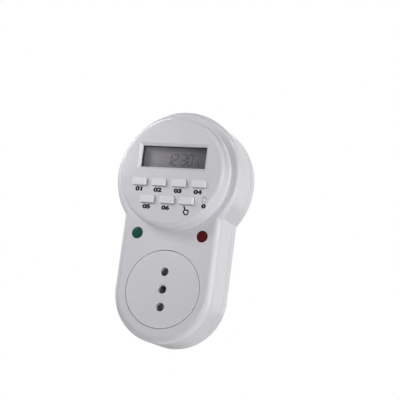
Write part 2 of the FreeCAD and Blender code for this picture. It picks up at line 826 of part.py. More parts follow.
def make_display_glass():
    """Liquid crystal cell: two panes, the rear one longer at the contact edges."""
    width = display_width + 2 * window_overlap
    height = display_height + 2 * window_overlap
    middle_y = (shroud_back_y + glass_back_y) / 2
    front = slab(0, display_z, width, height, shroud_back_y, middle_y)
    back = slab(0, display_z, width, height - 2 * glass_ledge, middle_y, glass_back_y)
    return joined([front, back])


def make_contact_strips():
    """Two elastic strips that carry the display's signals down to the control board."""
    length = display_width + window_overlap
    reach = (display_height + 2 * window_overlap) / 2 - strip_margin - strip_thickness / 2
    strips = [slab(0, display_z + side * reach, length, strip_thickness, glass_back_y, control_front_y)
              for side in (-1, 1)]
    return Part.makeCompound(strips)


def key_cap(x, z):
    """Push key: cap through the front, flange behind it and a plunger down to the mat."""
    cap = slab(x, z, key_width, key_height, head_y - key_stand, head_inner_y + key_flange_gap)
    cap = cap.makeFillet(key_corner_round, edges_along_y(cap))
    cap = cap.makeFillet(key_top_round, edges_in_plane(cap, head_y - key_stand))
    flange_y = head_inner_y + key_flange_gap
    flange_end_y = flange_y + key_flange_thickness
    flange = slab(x, z, key_width + 2 * key_flange_width, key_height + 2 * key_flange_width,
                  flange_y, flange_end_y)
    flange = flange.common(rod(0, head_z, drum_inner_radius - key_gap, flange_y, flange_end_y))
    plunger = rod(x, z, key_plunger_radius, flange_y, plunger_end_y)
    return joined([cap, flange, plunger])


def make_reset_button():
    """Small round button, sunk in its hole so that only a pen tip reaches it."""
    flange_y = head_inner_y + key_flange_gap
    cap = rod(reset_x, reset_z, reset_pin_radius, head_y + reset_sink, plunger_end_y)
    flange = rod(reset_x, reset_z, reset_flange_radius, flange_y, flange_y + key_flange_thickness)
    return joined([cap, flange])


def dome(x, z, foot_radius, top_radius):
    """Hollow rubber dome of the mat, standing on its sheet."""
    foot_y = control_front_y - mat_thickness
    outer = taper(x, z, top_radius, foot_radius, dome_top_y, foot_y)
    inner = taper(x, z, top_radius - dome_wall, foot_radius - dome_wall,
                  dome_top_y + dome_wall, control_front_y)
    return outer, inner


def make_key_mat():
    """Rubber mat on the control board, with one dome for each key and the reset button."""
    sheet_y = control_front_y - mat_thickness
    low_z = lower_key_z - key_height / 2 - mat_border
    high_z = upper_key_z + key_height / 2 + mat_border / 2
    sheet = brick(-mat_half_width, mat_half_width, sheet_y, control_front_y, low_z, high_z)
    round_limit = rod(0, head_z, mat_radius, sheet_y, control_front_y)
    sheet = sheet.common(round_limit)
    post_room = [rod(x, z, control_post_radius + board_notch_clearance, sheet_y, control_front_y)
                 for x, z in control_posts]
    domes = [dome(x, z, dome_foot_radius, dome_top_radius) for x, z in key_places]
    domes.append(dome(reset_x, reset_z, reset_dome_foot_radius, reset_dome_top_radius))
    reset_patch = rod(reset_x, reset_z, reset_dome_foot_radius, sheet_y, control_front_y)
    sheet = joined([sheet, reset_patch] + [outer for outer, inner in domes])
    return sheet.cut([inner for outer, inner in domes] + post_room)


def board_screws(places, head_y0, direction):
    """Small pan-head screws: head at head_y0, shank running along Y in the given direction."""
    screws = []
    for x, z in places:
        head_low, head_high = sorted((head_y0, head_y0 - direction * board_screw_head_height))
        shank_low, shank_high = sorted((head_y0, head_y0 + direction * board_screw_length))
        head = rod(x, z, board_screw_head_radius, head_low, head_high)
        shank = rod(x, z, board_screw_radius, shank_low, shank_high)
        screws.append(joined([head, shank]))
    return Part.makeCompound(screws)


def screw_passages(places, y0, y1):
    """Free holes through a board for its screws."""
    return [rod(x, z, board_screw_radius + screw_fit_clearance, y0, y1) for x, z in places]


def make_control_board():
    """Round board behind the keys and the display."""
    board = rod(0, head_z, control_board_radius, control_front_y, control_back_y)
    notches = [rod(x, z, front_post_radius + board_notch_clearance, control_front_y, control_back_y)
               for x, z in top_screws]
    return board.cut(notches + screw_passages(control_posts, control_front_y, control_back_y))


def make_power_board():
    """Board on the rear cover that carries the relay and the supply."""
    disc = rod(0, head_z, power_board_radius, power_front_y, power_back_y)
    apron = brick(-power_board_half_width, power_board_half_width, power_front_y, power_back_y,
                  power_board_bottom_z, head_z)
    board = joined([disc, apron])
    post_radius = well_radius + well_wall + board_notch_clearance
    cuts = [rod(x, z, post_radius, power_front_y, power_back_y) for x, z in top_screws + middle_screws]
    cuts += screw_passages(power_posts, power_front_y, power_back_y)
    slot_z = bar_top_z - busbar_thickness / 2
    for x in (0, -neutral_bar_offset):
        cuts.append(slab(x, slot_z, bar_tab_width + 2 * board_slot_clearance,
                         busbar_thickness + 2 * board_slot_clearance, power_front_y, power_back_y))
    return board.cut(cuts)


def boxed_component(z, width, length, top_y, edge_round):
    """Moulded box standing on the middle of the power board, up to top_y."""
    box = slab(0, z, width, length, top_y, power_front_y)
    return box.makeFillet(edge_round, edges_in_plane(box, top_y))


def capacitor_can(place, radius, height):
    """Round capacitor standing on the power board, with a groove near its foot."""
    x, z = place
    can = rod(x, z, radius, power_front_y - height, power_front_y)
    groove_y = power_front_y - capacitor_groove_height
    ring = rod(x, z, radius, groove_y, groove_y + capacitor_groove)
    ring = ring.cut(rod(x, z, radius - capacitor_groove, groove_y, groove_y + capacitor_groove))
    return can.cut(ring)


def make_smoothing_capacitors():
    """The two capacitors that smooth the supply."""
    return Part.makeCompound([
        capacitor_can(large_capacitor_place, large_capacitor_radius, large_capacitor_height),
        capacitor_can(small_capacitor_place, small_capacitor_radius, small_capacitor_height),
    ])


def make_varistor():
    """Disc that clips voltage peaks, standing on two leads."""
    centre_y = power_front_y - varistor_stand - varistor_radius
    start = Vector(varistor_x - varistor_thickness / 2, centre_y, varistor_z)
    disc = Part.makeCylinder(varistor_radius, varistor_thickness, start, Vector(1, 0, 0))
    leads = [slab(varistor_x, varistor_z + side * varistor_radius / 2, lead_size, lead_size,
                  centre_y, power_front_y) for side in (-1, 1)]
    return joined([disc] + leads)


def axial_part(x, z, radius, length):
    """Round body lying on the power board, with a lead bent down at each end."""
    centre_y = power_front_y - radius
    body = Part.makeCylinder(radius, length, Vector(x - length / 2, centre_y, z), Vector(1, 0, 0))
    reach = length / 2 + axial_lead_reach
    half = lead_size / 2
    wire = brick(x - reach, x + reach, centre_y - half, centre_y + half, z - half, z + half)
    legs = [slab(x + side * (reach - half), z, lead_size, lead_size, centre_y - half, power_front_y)
            for side in (-1, 1)]
    return joined([body, wire] + legs)


def make_rectifier_diodes():
    """Diodes of the supply, side by side."""
    return Part.makeCompound([axial_part(diode_x, diode_first_z + i * diode_pitch, diode_radius, diode_length)
                              for i in range(diode_count)])


def make_resistors():
    """Resistors of the supply, side by side."""
    return Part.makeCompound([axial_part(resistor_x, resistor_first_z + i * resistor_pitch,
                                         resistor_radius, resistor_length) for i in range(resistor_count)])


def make_relay_transistor():
    """Flat-sided transistor that drives the relay, on three leads."""
    base_y = power_front_y - transistor_stand
    body = rod(transistor_x, transistor_z, transistor_radius, base_y - transistor_height, base_y)
    flat = brick(transistor_x - 2 * transistor_radius, transistor_x + 2 * transistor_radius,
                 base_y - transistor_height, base_y, transistor_z + transistor_flat,
                 transistor_z + 2 * transistor_radius)
    leads = [slab(transistor_x + i * 2 * lead_size, transistor_z, lead_size, lead_size, base_y, power_front_y)
             for i in (-1, 0, 1)]
    return joined([body.cut(flat)] + leads)


def link_places():
    """Places of the pins that join the two boards."""
    first = link_z - (link_count - 1) * link_pitch / 2
    return [(link_x, first + i * link_pitch) for i in range(link_count)]


def make_link_pins():
    """Square pins that join the control board to the power board."""
    return Part.makeCompound([slab(x, z, link_pin_size, link_pin_size, control_back_y, power_front_y)
                              for x, z in link_places()])


def make_link_strips():
    """Two plastic strips that hold the link pins, one on each board."""
    length = link_count * link_pitch
    room = link_pin_size + 2 * link_clearance
    strips = []
    for low_y in (control_back_y, power_front_y - link_strip_size):
        strip = slab(link_x, link_z, link_strip_size, length, low_y, low_y + link_strip_size)
        holes = [slab(x, z, room, room, low_y, low_y + link_strip_size) for x, z in link_places()]
        strips.append(strip.cut(holes))
    return Part.makeCompound(strips)


def make_controller_chip():
    """Epoxy drop over the bare controller chip."""
    return taper(chip_x, chip_z, chip_foot_radius, chip_top_radius,
                 control_back_y, control_back_y + chip_height)


def make_clock_crystal():
    """Small can of the clock crystal, lying on the control board."""
    start = Vector(crystal_x - crystal_length / 2, control_back_y + crystal_radius, crystal_z)
    return Part.makeCylinder(crystal_radius, crystal_length, start, Vector(1, 0, 0))


def make_backup_cell():
    """Button cell that keeps the clock and its programs alive."""
    low_y = control_back_y + tab_thickness
    cell = rod(cell_x, cell_z, cell_radius, low_y, low_y + cell_thickness)
    return cell.makeFillet(cell_edge_round, edges_in_plane(cell, low_y + cell_thickness))


def make_cell_tabs():
    """Two metal tabs welded to the cell: one under it, one over it and down to the board."""
    under = slab(cell_x + cell_radius / 2, cell_z, cell_radius + 2 * tab_overhang, tab_width,
                 control_back_y, control_back_y + tab_thickness)
    over_y = control_back_y + tab_thickness + cell_thickness
    end_x = cell_x - cell_radius - tab_overhang
    over = brick(end_x, cell_x, over_y, over_y + tab_thickness,
                 cell_z - tab_width / 2, cell_z + tab_width / 2)
    leg = brick(end_x, end_x + tab_thickness, control_back_y, over_y,
                cell_z - tab_width / 2, cell_z + tab_width / 2)
    return Part.makeCompound([under, joined([over, leg])])


def build_parts():
    """Every sub-part by name."""
    earth_base_y = collar_top_y
    neutral_base_y = lower_bar_y
    parts = {
        "front_cover": make_front_cover(),
        "rear_cover": make_rear_cover(),
        "case_screws": make_case_screws(),
        "socket_insert": make_socket_insert(),
        "shutter": make_shutter(),
        "shutter_spring": make_shutter_spring(),
        "contact_holder": make_contact_holder(),
        "earth_pin": plug_pin(0, earth_base_y - contact_base_thickness, False),
        "line_pin": plug_pin(pin_pitch, lower_bar_y, True),
        "neutral_pin": plug_pin(-pin_pitch, neutral_base_y - contact_base_thickness, True),
        "line_sleeve": pin_sleeve(pin_pitch),
        "neutral_sleeve": pin_sleeve(-pin_pitch),
        "earth_contact": riveted_contact(0, earth_base_y),
        "neutral_contact": riveted_contact(-pin_pitch, neutral_base_y),
        "line_contact": make_line_contact(),
        "line_busbar": make_line_busbar(),
        "switched_busbar": make_switched_busbar(),
        "neutral_busbar": make_neutral_busbar(),
        "green_lens": indicator_lens(-lens_x),
        "red_lens": indicator_lens(lens_x),
        "green_led": indicator_lamp(-lens_x),
        "red_led": indicator_lamp(lens_x),
        "window": make_window(),
        "display_shroud": make_display_shroud(),
        "display_glass": make_display_glass(),
        "contact_strips": make_contact_strips(),
        "key_mat": make_key_mat(),
        "reset_button": make_reset_button(),
        "control_board": make_control_board(),
        "control_board_screws": board_screws(control_posts, control_back_y, -1),
        "controller_chip": make_controller_chip(),
        "clock_crystal": make_clock_crystal(),
        "backup_cell": make_backup_cell(),
        "cell_tabs": make_cell_tabs(),
        "power_board": make_power_board(),
        "power_board_screws": board_screws(power_posts, power_front_y, 1),
        "relay": boxed_component(relay_z, relay_width, relay_length, relay_top_y, relay_edge_round),
        "dropper_capacitor": boxed_component(dropper_z, dropper_width, dropper_length,
                                             power_front_y - dropper_height, dropper_edge_round),
        "smoothing_capacitors": make_smoothing_capacitors(),
        "varistor": make_varistor(),
        "rectifier_diodes": make_rectifier_diodes(),
        "resistors": make_resistors(),
        "relay_transistor": make_relay_transistor(),
        "link_pins": make_link_pins(),
        "link_strips": make_link_strips(),
    }
    for number, (x, z) in enumerate(key_places, start=1):
        parts["key_%d" % number] = key_cap(x, z)
    return parts


def main():
    """Builds and writes every sub-part."""
    os.makedirs("parts", exist_ok=True)
    for name, shape in build_parts().items():
        shape.exportStep("parts/%s.step" % name)
        print(name, "solids", len(shape.Solids), "valid", shape.isValid(), "volume", round(shape.Volume, 2))


main()
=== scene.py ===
"""Looks of the digital weekly timer: its moulded case, outlet, keys, display and plug, and a small studio.

Lengths are in metres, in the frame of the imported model. X runs to the right, Z up, and Y from the front
towards the wall. Each operator of the panel builds one piece, or one group of like pieces.
"""
import math

import bmesh
import bpy
from bpy.props import FloatProperty, FloatVectorProperty, PointerProperty, StringProperty
from mathutils import Matrix, Vector
from mathutils.geometry import delaunay_2d_cdt


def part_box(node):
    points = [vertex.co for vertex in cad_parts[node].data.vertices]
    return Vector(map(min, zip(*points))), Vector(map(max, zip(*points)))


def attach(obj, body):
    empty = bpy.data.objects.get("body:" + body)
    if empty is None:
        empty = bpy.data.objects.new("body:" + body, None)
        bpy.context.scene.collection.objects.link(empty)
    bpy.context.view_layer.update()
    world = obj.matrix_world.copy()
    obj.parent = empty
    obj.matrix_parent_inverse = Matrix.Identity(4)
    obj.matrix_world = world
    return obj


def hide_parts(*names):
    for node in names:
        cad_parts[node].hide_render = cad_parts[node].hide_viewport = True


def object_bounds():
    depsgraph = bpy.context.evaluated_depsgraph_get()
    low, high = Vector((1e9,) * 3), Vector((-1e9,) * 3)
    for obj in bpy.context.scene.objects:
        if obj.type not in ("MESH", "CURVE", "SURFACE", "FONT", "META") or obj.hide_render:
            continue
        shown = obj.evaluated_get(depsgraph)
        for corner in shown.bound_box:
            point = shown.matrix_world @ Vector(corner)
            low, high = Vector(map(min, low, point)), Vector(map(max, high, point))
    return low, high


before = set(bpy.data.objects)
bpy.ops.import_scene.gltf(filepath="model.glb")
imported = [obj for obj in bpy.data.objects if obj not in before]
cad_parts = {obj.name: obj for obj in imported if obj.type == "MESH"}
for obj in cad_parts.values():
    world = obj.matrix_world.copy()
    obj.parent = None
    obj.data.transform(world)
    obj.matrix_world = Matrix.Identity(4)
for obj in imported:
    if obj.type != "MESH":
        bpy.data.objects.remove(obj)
frame_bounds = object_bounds()

bl_info = {
    "name": "Digital weekly timer",
    "version": (1, 0, 0),
    "blender": (4, 5, 0),
    "location": "3D View > Sidebar > Timer",
    "description": "Builds a plug-in weekly timer and a small studio",
    "category": "Add Mesh",
}

MM = 0.001
FRONT_LOW, FRONT_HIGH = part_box("front_cover")
REAR_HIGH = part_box("rear_cover")[1]
PANE_LOW, PANE_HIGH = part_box("window")
SHROUD_LOW, SHROUD_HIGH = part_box("display_shroud")
CELL_LOW, CELL_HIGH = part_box("display_glass")
INSERT_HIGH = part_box("socket_insert")[1]
KEYS = ["key_%d" % i for i in range(1, 8)]
PINS = ("line_pin", "earth_pin", "neutral_pin")

HEAD_Y = FRONT_LOW.y
SEAM_Y = FRONT_HIGH.y
FACE_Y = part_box("green_lens")[0].y
WALL_Y = REAR_HIGH.y
HEAD_RADIUS = FRONT_HIGH.x
HEAD_Z = FRONT_HIGH.z - HEAD_RADIUS

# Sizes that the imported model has
PANE_OVERLAP = 2.0 * MM
VIEW_WIDTH = PANE_HIGH.x - PANE_LOW.x - 2 * PANE_OVERLAP
VIEW_HEIGHT = PANE_HIGH.z - PANE_LOW.z - 2 * PANE_OVERLAP
LENS_RADIUS = 3.2 * MM
LENS_GAP = 0.1 * MM
LENS_PIPE_RADIUS = 2.6 * MM
FLANGE_THICKNESS = 0.8 * MM
KEY_FLANGE_Y = HEAD_Y + 2.05 * MM
KEY_FLANGE_END_Y = KEY_FLANGE_Y + FLANGE_THICKNESS
KEY_FLANGE_WIDTH = 0.9 * MM
KEY_LEAST_CORNER = 0.1 * MM
PLUNGER_RADIUS = 1.2 * MM
RESET_FLANGE_RADIUS = 1.9 * MM
INSERT_FLANGE = 1.2 * MM
INSERT_BOSS_RADIUS = 2.8 * MM
PIN_HOLE_RADIUS = 2.42 * MM
SCREW_REACH = 8.0 * MM
WELL_WALL = 0.7 * MM
WELL_FLOOR = 1.3 * MM
SHOULDER_SHARE = 0.55
TONGUE_SHARE = 0.9
CELL_STEP = 0.6 * MM
SHROUD_CORNER = 0.5 * MM
SHROUD_INNER_CORNER = 0.3 * MM

# Small forms that only the looks have
LENS_CROWN = 0.22 * MM
LENS_EDGE = 0.12 * MM
RESET_EDGE = 0.25 * MM
INSERT_EDGE = 0.3 * MM
PAD_EDGE = 0.4 * MM
WELL_EDGE = 0.08 * MM
PANE_EDGE = 0.15 * MM
CELL_EDGE = 0.1 * MM
PLATE_CORNER = 0.4 * MM
LIQUID_GAP = 0.01 * MM
PRINT_THICKNESS = 0.02 * MM
PRINT_SINK = 0.001 * MM

# Steps of the round shapes
CIRCLE_STEPS = 96
DRUM_STEPS = 128
HOLE_STEPS = 48
WELL_STEPS = 40
BUTTON_STEPS = 32
PLUNGER_STEPS = 28
HEAD_ARC_STEPS = 108
FOOT_ARC_STEPS = 64
SIDE_STEPS = 6
CROWN_STEPS = 6


def middle(node):
    """Place in X and Z of the middle of a CAD node."""
    low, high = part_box(node)
    return (low.x + high.x) / 2, (low.z + high.z) / 2


def length(name, description, millimetres):
    """A length that a user may change."""
    return FloatProperty(name=name, description=description, default=millimetres * MM, min=0.0, unit="LENGTH",
                         subtype="DISTANCE", precision=5)


def colour(name, description, value):
    """A colour that a user may change."""
    return FloatVectorProperty(name=name, description=description, default=value, size=3, min=0.0, max=1.0,
                               subtype="COLOR")


def power(name, description, watts):
    """Power of a lamp, which a user may change."""
    return FloatProperty(name=name, description=description + ", in watts", default=watts, min=0.0, max=500.0)


class TimerCaseSizes(bpy.types.PropertyGroup):
    """Sizes of the two covers and the outlet."""
    half_width: length("Body half width", "Half the width of the lower body", 28.3)
    body_round: length("Body edge round", "Round of the lower body's front edge", 4.0)
    head_round: length("Head edge round", "Round of the edge of the ledge round the drum", 2.4)
    drum_foot: length("Drum foot radius", "Radius of the drum at the ledge", 30.3)
    drum_top: length("Drum face radius", "Radius of the drum at its face", 29.8)
    drum_round: length("Drum edge round", "Round of the drum's front edge", 2.0)
    foot_round: length("Drum foot round", "Hollow round between the drum and the ledge", 0.8)
    wall: length("Wall", "Thickness of the case", 2.0)
    rear_round: length("Rear edge round", "Round of the rear cover's edge", 2.5)
    seam_gap: length("Seam gap", "Gap between the two covers", 0.25)
    tongue: length("Tongue", "Length of the rear cover's tongue", 2.2)
    rear_floor: length("Rear floor", "Thickness of the rear cover's floor", 2.2)
    pad_rise: length("Pad rise", "Height of the pad round the plug pins", 1.0)
    pad_radius: length("Pad radius", "Radius of the pad round the plug pins", 24.2)
    recess_radius: length("Screw recess radius", "Radius of the recess of a case screw", 3.3)
    recess_depth: length("Screw recess depth", "Depth of a case screw's recess from the back", 4.5)
    edge: length("Opening edge", "Small round at the edges of the openings", 0.18)
    seam_edge: length("Seam edge", "Small round at both lips of the seam", 0.35)
    socket_gap: length("Outlet gap", "Gap round the outlet's face", 0.3)
    socket_radius: length("Outlet radius", "Radius of the opening for the outlet", 21.25)
    hole_radius: length("Outlet hole radius", "Radius of the three holes for a plug", 2.3)
    hole_edge: length("Outlet hole edge", "Round at the rim of the three holes", 0.35)


class TimerFrontSizes(bpy.types.PropertyGroup):
    """Sizes of the keys, the display and the print on the drum."""
    key_width: length("Key width", "Width of a key", 8.0)
    key_height: length("Key height", "Height of a key", 4.0)
    key_corner: length("Key corner", "Round of the corners of a key", 0.7)
    key_edge: length("Key edge", "Round of the front edge of a key", 0.35)
    key_gap: length("Key gap", "Gap round a key", 0.25)
    bevel: length("Display bevel", "Width of the sloping frame round the display", 1.3)
    bevel_depth: length("Display bevel depth", "Depth of the sloping frame round the display", 1.1)
    reset_hole: length("Reset hole radius", "Radius of the hole of the reset button", 1.45)
    digit_height: length("Digit height", "Height of the large digits of the display", 6.0)
    label_height: length("Label height", "Height of the printed numbers", 2.5)
    display_time: StringProperty(name="Display digits", description="Digits that the display shows",
                                 default="12:30")


class TimerColours(bpy.types.PropertyGroup):
    """Colours of the finishes."""
    case: colour("Case", "White moulded plastic of the case", (0.80, 0.79, 0.83))
    outlet: colour("Outlet", "White moulded plastic of the outlet's face", (0.81, 0.80, 0.84))
    keys: colour("Keys", "White plastic of the keys", (0.92, 0.91, 0.94))
    green: colour("Green lens", "Tinted plastic of the left lens", (0.006, 0.075, 0.052))
    red: colour("Red lens", "Tinted plastic of the right lens", (0.085, 0.002, 0.004))
    print_ink: colour("Print", "Ink of the numbers under the keys", (0.01, 0.01, 0.011))
    display: colour("Display", "Display with no segment lit", (0.235, 0.225, 0.24))
    segment: colour("Segments", "Faint dark segments of the display", (0.11, 0.105, 0.11))
    black: colour("Black plastic", "Frame of the display and sleeves of the pins", (0.02, 0.02, 0.021))


class TimerStudio(bpy.types.PropertyGroup):
    """Strengths of the lamps and the sky."""
    key_lamp: power("Key lamp", "Lamp at the upper left", 0.24)
    front_lamp: power("Front lamp", "Lamp in front and a little below", 0.23)
    edge_lamp: power("Edge lamp", "Narrow upright lamp at the front right", 2.2)
    top_lamp: power("Top lamp", "Narrow level lamp above", 2.0)
    side_lamp: power("Side lamp", "Tall lamp at the right", 4.6)
    rim_lamp: power("Rim lamp", "Lamp behind at the upper left", 4.0)
    back_lamp: power("Back lamp", "Lamp behind the timer", 2.5)
    sky: FloatProperty(name="Sky", description="Level of the even light all round", default=0.08, min=0.0,
                       max=5.0)
    floor_drop: length("Floor drop", "Distance from the timer down to the floor", 300.0)


# Shapes

def spread(first, last, count):
    """Evenly spread numbers, both ends included."""
    return [first + (last - first) * i / count for i in range(count + 1)]


def circle(x, z, radius, y, count=CIRCLE_STEPS):
    """Ring of points round a place on the front."""
    return [Vector((x + radius * math.cos(a), y, z + radius * math.sin(a)))
            for a in spread(0.0, math.tau, count)[:-1]]


def tube(x, z, radius, levels, count=CIRCLE_STEPS):
    """Rings of a straight round wall, one at each level."""
    return [circle(x, z, radius, y, count) for y in levels]


def rounded_box(x, z, width, height, corner, y, count=4):
    """Ring of points along a rectangle with round corners."""
    ring = []
    for quarter, (side, rise) in enumerate(((1, 1), (-1, 1), (-1, -1), (1, -1))):
        corner_x = x + side * (width / 2 - corner)
        corner_z = z + rise * (height / 2 - corner)
        for a in spread(quarter * math.pi / 2, (quarter + 1) * math.pi / 2, count):
            ring.append(Vector((corner_x + corner * math.cos(a), y, corner_z + corner * math.sin(a))))
    return ring


def case_ring(sizes, body_inset, head_inset, y):
    """Outline of the case at one level: the round head over the straight lower body."""
    side = sizes.half_width - body_inset
    reach = HEAD_RADIUS - head_inset
    notch_z = HEAD_Z - math.sqrt(reach * reach - side * side)
    low_z = FRONT_LOW.z + sizes.half_width
    notch = math.atan2(notch_z - HEAD_Z, side)
    head = [Vector((reach * math.cos(a), y, HEAD_Z + reach * math.sin(a)))
            for a in spread(notch, math.pi - notch, HEAD_ARC_STEPS)]
    foot = [Vector((side * math.cos(a), y, low_z + side * math.sin(a)))
            for a in spread(math.pi, math.tau, FOOT_ARC_STEPS)]
    levels = spread(low_z, notch_z, SIDE_STEPS)[1:-1]
    left = [Vector((-side, y, z)) for z in reversed(levels)]
    right = [Vector((side, y, z)) for z in levels]
    return head + left + foot + right


def quarter_round(radius, steps):
    """Steps along a quarter round: how far in from the side, and how far back from the face."""
    return [(radius * (1 - math.sin(a)), radius * (1 - math.cos(a))) for a in spread(0.0, math.pi / 2, steps)]


def rounded_wall(ring_at, edge, steps, first_y, last_y):
    """Rings down a wall whose first edge is rounded. ring_at takes the reach of the round and a level."""
    side = math.copysign(1.0, last_y - first_y)
    rings = [ring_at(inset, first_y + side * depth) for inset, depth in quarter_round(edge, steps)]
    return rings + [ring_at(0.0, last_y)]


def round_ring(x, z, radius, side, count=CIRCLE_STEPS):
    """Maker of the rings of a round wall. side is 1 for a hole and -1 for what stands out."""
    return lambda reach, y: circle(x, z, radius + side * reach, y, count)


def key_ring(front, node, inset, y, count):
    """Outline of a key, taken in by inset."""
    return rounded_box(*middle(node), front.key_width - 2 * inset, front.key_height - 2 * inset,
                       max(KEY_LEAST_CORNER, front.key_corner - inset), y, count)


def lip_rings(sizes, lip_y, back):
    """Rings over the small round of a lip at the seam. back is -1 where the cover stands before its lip."""
    return [case_ring(sizes, inset, inset, lip_y + back * depth)
            for inset, depth in reversed(quarter_round(sizes.seam_edge, 2))]


def inside(point, ring):
    """True where a point of the front lies inside a ring."""
    odd = False
    for a, b in zip(ring, ring[1:] + ring[:1]):
        if (a.z > point.y) != (b.z > point.y) and point.x < a.x + (point.y - a.z) * (b.x - a.x) / (b.z - a.z):
            odd = not odd
    return odd


class Skin:
    """Closed mesh put together from rings of points, strips between rings and flat regions."""

    def __init__(self):
        self.mesh = bmesh.new()
        self.corners = {}
        self.level = self.mesh.faces.layers.int.new("level")

    def corner(self, point):
        """Vertex at a point, shared by the faces that meet there."""
        place = tuple(round(value, 7) for value in point)
        if place not in self.corners:
            self.corners[place] = self.mesh.verts.new(point)
        return self.corners[place]

    def face(self, points, level=False):
        """One face. A level face stays flat where a round runs into it."""
        corners = list(dict.fromkeys(self.corner(point) for point in points))
        if len(corners) > 2:
            self.mesh.faces.new(corners)[self.level] = level

    def strip(self, *rings, level=False):
        """Faces between each ring and the next. Returns the first ring and the last."""
        for a, b in zip(rings, rings[1:]):
            for i in range(len(a)):
                j = (i + 1) % len(a)
                self.face((a[i], a[j], b[j], b[i]), level)
        return rings[0], rings[-1]

    def cap(self, ring):
        """Flat end over a ring."""
        self.face(ring, True)

    def stepped(self, *walls):
        """Walls one behind another, joined by level steps. Each wall is a row of rings."""
        self.strip(*walls[0])
        for before, wall in zip(walls, walls[1:]):
            self.strip(before[-1], wall[0], level=True)
            self.strip(*wall)

    def blind(self, *rings):
        """Wall with a flat end over its last ring. Returns its first ring."""
        self.strip(*rings)
        self.cap(rings[-1])
        return rings[0]

    def region(self, outer, holes):
        """Flat region inside the outer ring and outside the holes."""
        points, edges = [], []
        for ring in (outer, *holes):
            first = len(points)
            points += ring
            edges += [(first + i, first + (i + 1) % len(ring)) for i in range(len(ring))]
        plan = [Vector((point.x, point.z)) / MM for point in points]
        places, _, triangles, origins, _, _ = delaunay_2d_cdt(plan, edges, [], 1, 1e-6)
        for triangle in triangles:
            centre = sum((places[i] for i in triangle), Vector((0.0, 0.0))) * MM / 3
            if not any(inside(centre, hole) for hole in holes):
                self.face([points[origins[i][0]] for i in triangle], True)

    def piece(self, name, material, slot, body="housing", replaces=()):
        """Object from the mesh, riding on its body and standing for the CAD nodes it replaces."""
        bmesh.ops.recalc_face_normals(self.mesh, faces=self.mesh.faces[:])
        data = bpy.data.meshes.new(name)
        level = [bool(face[self.level]) for face in self.mesh.faces]
        self.mesh.faces.layers.int.remove(self.level)
        self.mesh.to_mesh(data)
        self.mesh.free()
        shade(data, level)
        place_piece(name, data, material, slot, body, replaces)


def add(name, data):
    """Object with its data, in the scene."""
    made = bpy.data.objects.new(name, data)
    bpy.context.scene.collection.objects.link(made)
    return made


def place_piece(name, data, material, slot, body="housing", replaces=()):
    """Object with a finish, riding on its body."""
    made = add(name, data)
    data.materials.append(material)
    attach(made, body)
    if replaces:
        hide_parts(*replaces)


SMOOTH_LIMIT = math.cos(math.radians(30))


def shade(data, level):
    """Smooth shading in which level faces stay flat and rounds run into them without a crease."""
    around = [[] for _ in data.vertices]
    for face in data.polygons:
        for vertex in face.vertices:
            around[vertex].append(face)
    normals = []
    for face in data.polygons:
        for vertex in face.vertices:
            near = [other for other in around[vertex] if other.normal.dot(face.normal) > SMOOTH_LIMIT]
            flat = [other for other in near if level[other.index]]
            total = sum((other.normal * other.area for other in flat or near), Vector())
            normals.append(face.normal.copy() if level[face.index] else total.normalized())
    data.polygons.foreach_set("use_smooth", [True] * len(data.polygons))
    data.normals_split_custom_set(normals)


# Finishes

class Signal:
    """Output of a shader node. An expression on signals adds the Math nodes that it needs."""

    def __init__(self, tree, socket=None):
        self.tree = tree
        self.socket = socket

    def node(self, kind, settings=None, values=None, output=0):
        """Adds a node: its settings first, then the values or links of its sockets."""
        made = self.tree.nodes.new("ShaderNode" + kind)
        for name, value in (settings or {}).items():
            setattr(made, name, value)
        for name, value in (values or {}).items():
            if isinstance(value, Signal):
                self.tree.links.new(value.socket, made.inputs[name])
            else:
                made.inputs[name].default_value = value
        return Signal(self.tree, made.outputs[output] if made.outputs else None)

    def math(self, operation, first, second):
        """Math node on two signals or numbers."""
        return self.node("Math", {"operation": operation}, {0: first, 1: second})

    def __add__(self, other):
        return self.math("ADD", self, other)

    __radd__ = __add__

    def __sub__(self, other):
        return self.math("SUBTRACT", self, other)

    def __rsub__(self, other):
        return self.math("SUBTRACT", other, self)

    def __mul__(self, other):
        return self.math("MULTIPLY", self, other)

    __rmul__ = __mul__

    def __gt__(self, other):
        return self.math("GREATER_THAN", self, other)

    def held(self, low, high):
        """This signal, held between two numbers."""
        return self.math("MAXIMUM", self.math("MINIMUM", self, high), low)

    def mix(self, first, second):
        """Colour between two, with this signal as the factor."""
        return self.node("Mix", {"data_type": "RGBA"}, {0: self, 6: first, 7: second}, 2)

    def shades(self, rgb, first, second):
        """Shade of a colour, from one gain to another as this signal rises."""
        return self.mix(tint(rgb, first), tint(rgb, second))

    def place(self):
        """Place on the piece."""
        return self.node("TexCoord", output="Object")

    def noise(self, scale, detail=2.0, roughness=0.5):
        """Noise over the piece, with scale in lumps a metre."""
        return self.node("TexNoise", {}, {"Vector": self.place(), "Scale": scale, "Detail": detail,
                                          "Roughness": roughness})

    def cells(self, feature, scale):
        """Pattern of cells over the piece."""
        return self.node("TexVoronoi", {"feature": feature}, {"Vector": self.place(), "Scale": scale})

    def surface(self, tone, gloss, height=None, strength=0.0, depth=0.0, specular=0.5, **more):
        """Surface of a colour and a roughness. The depth of its relief is in millimetres."""
        values = {"Base Color": tone, "Roughness": gloss, "Specular IOR Level": specular, **more}
        if height:
            values["Normal"] = self.node("Bump", {}, {"Height": height, "Strength": strength,
                                                      "Distance": depth * MM})
        return self.node("BsdfPrincipled", {}, values)


def tint(rgb, gain):
    """Colour with its opacity, made lighter or darker."""
    return (*(min(1.0, value * gain) for value in rgb), 1.0)


FINISHES = {}


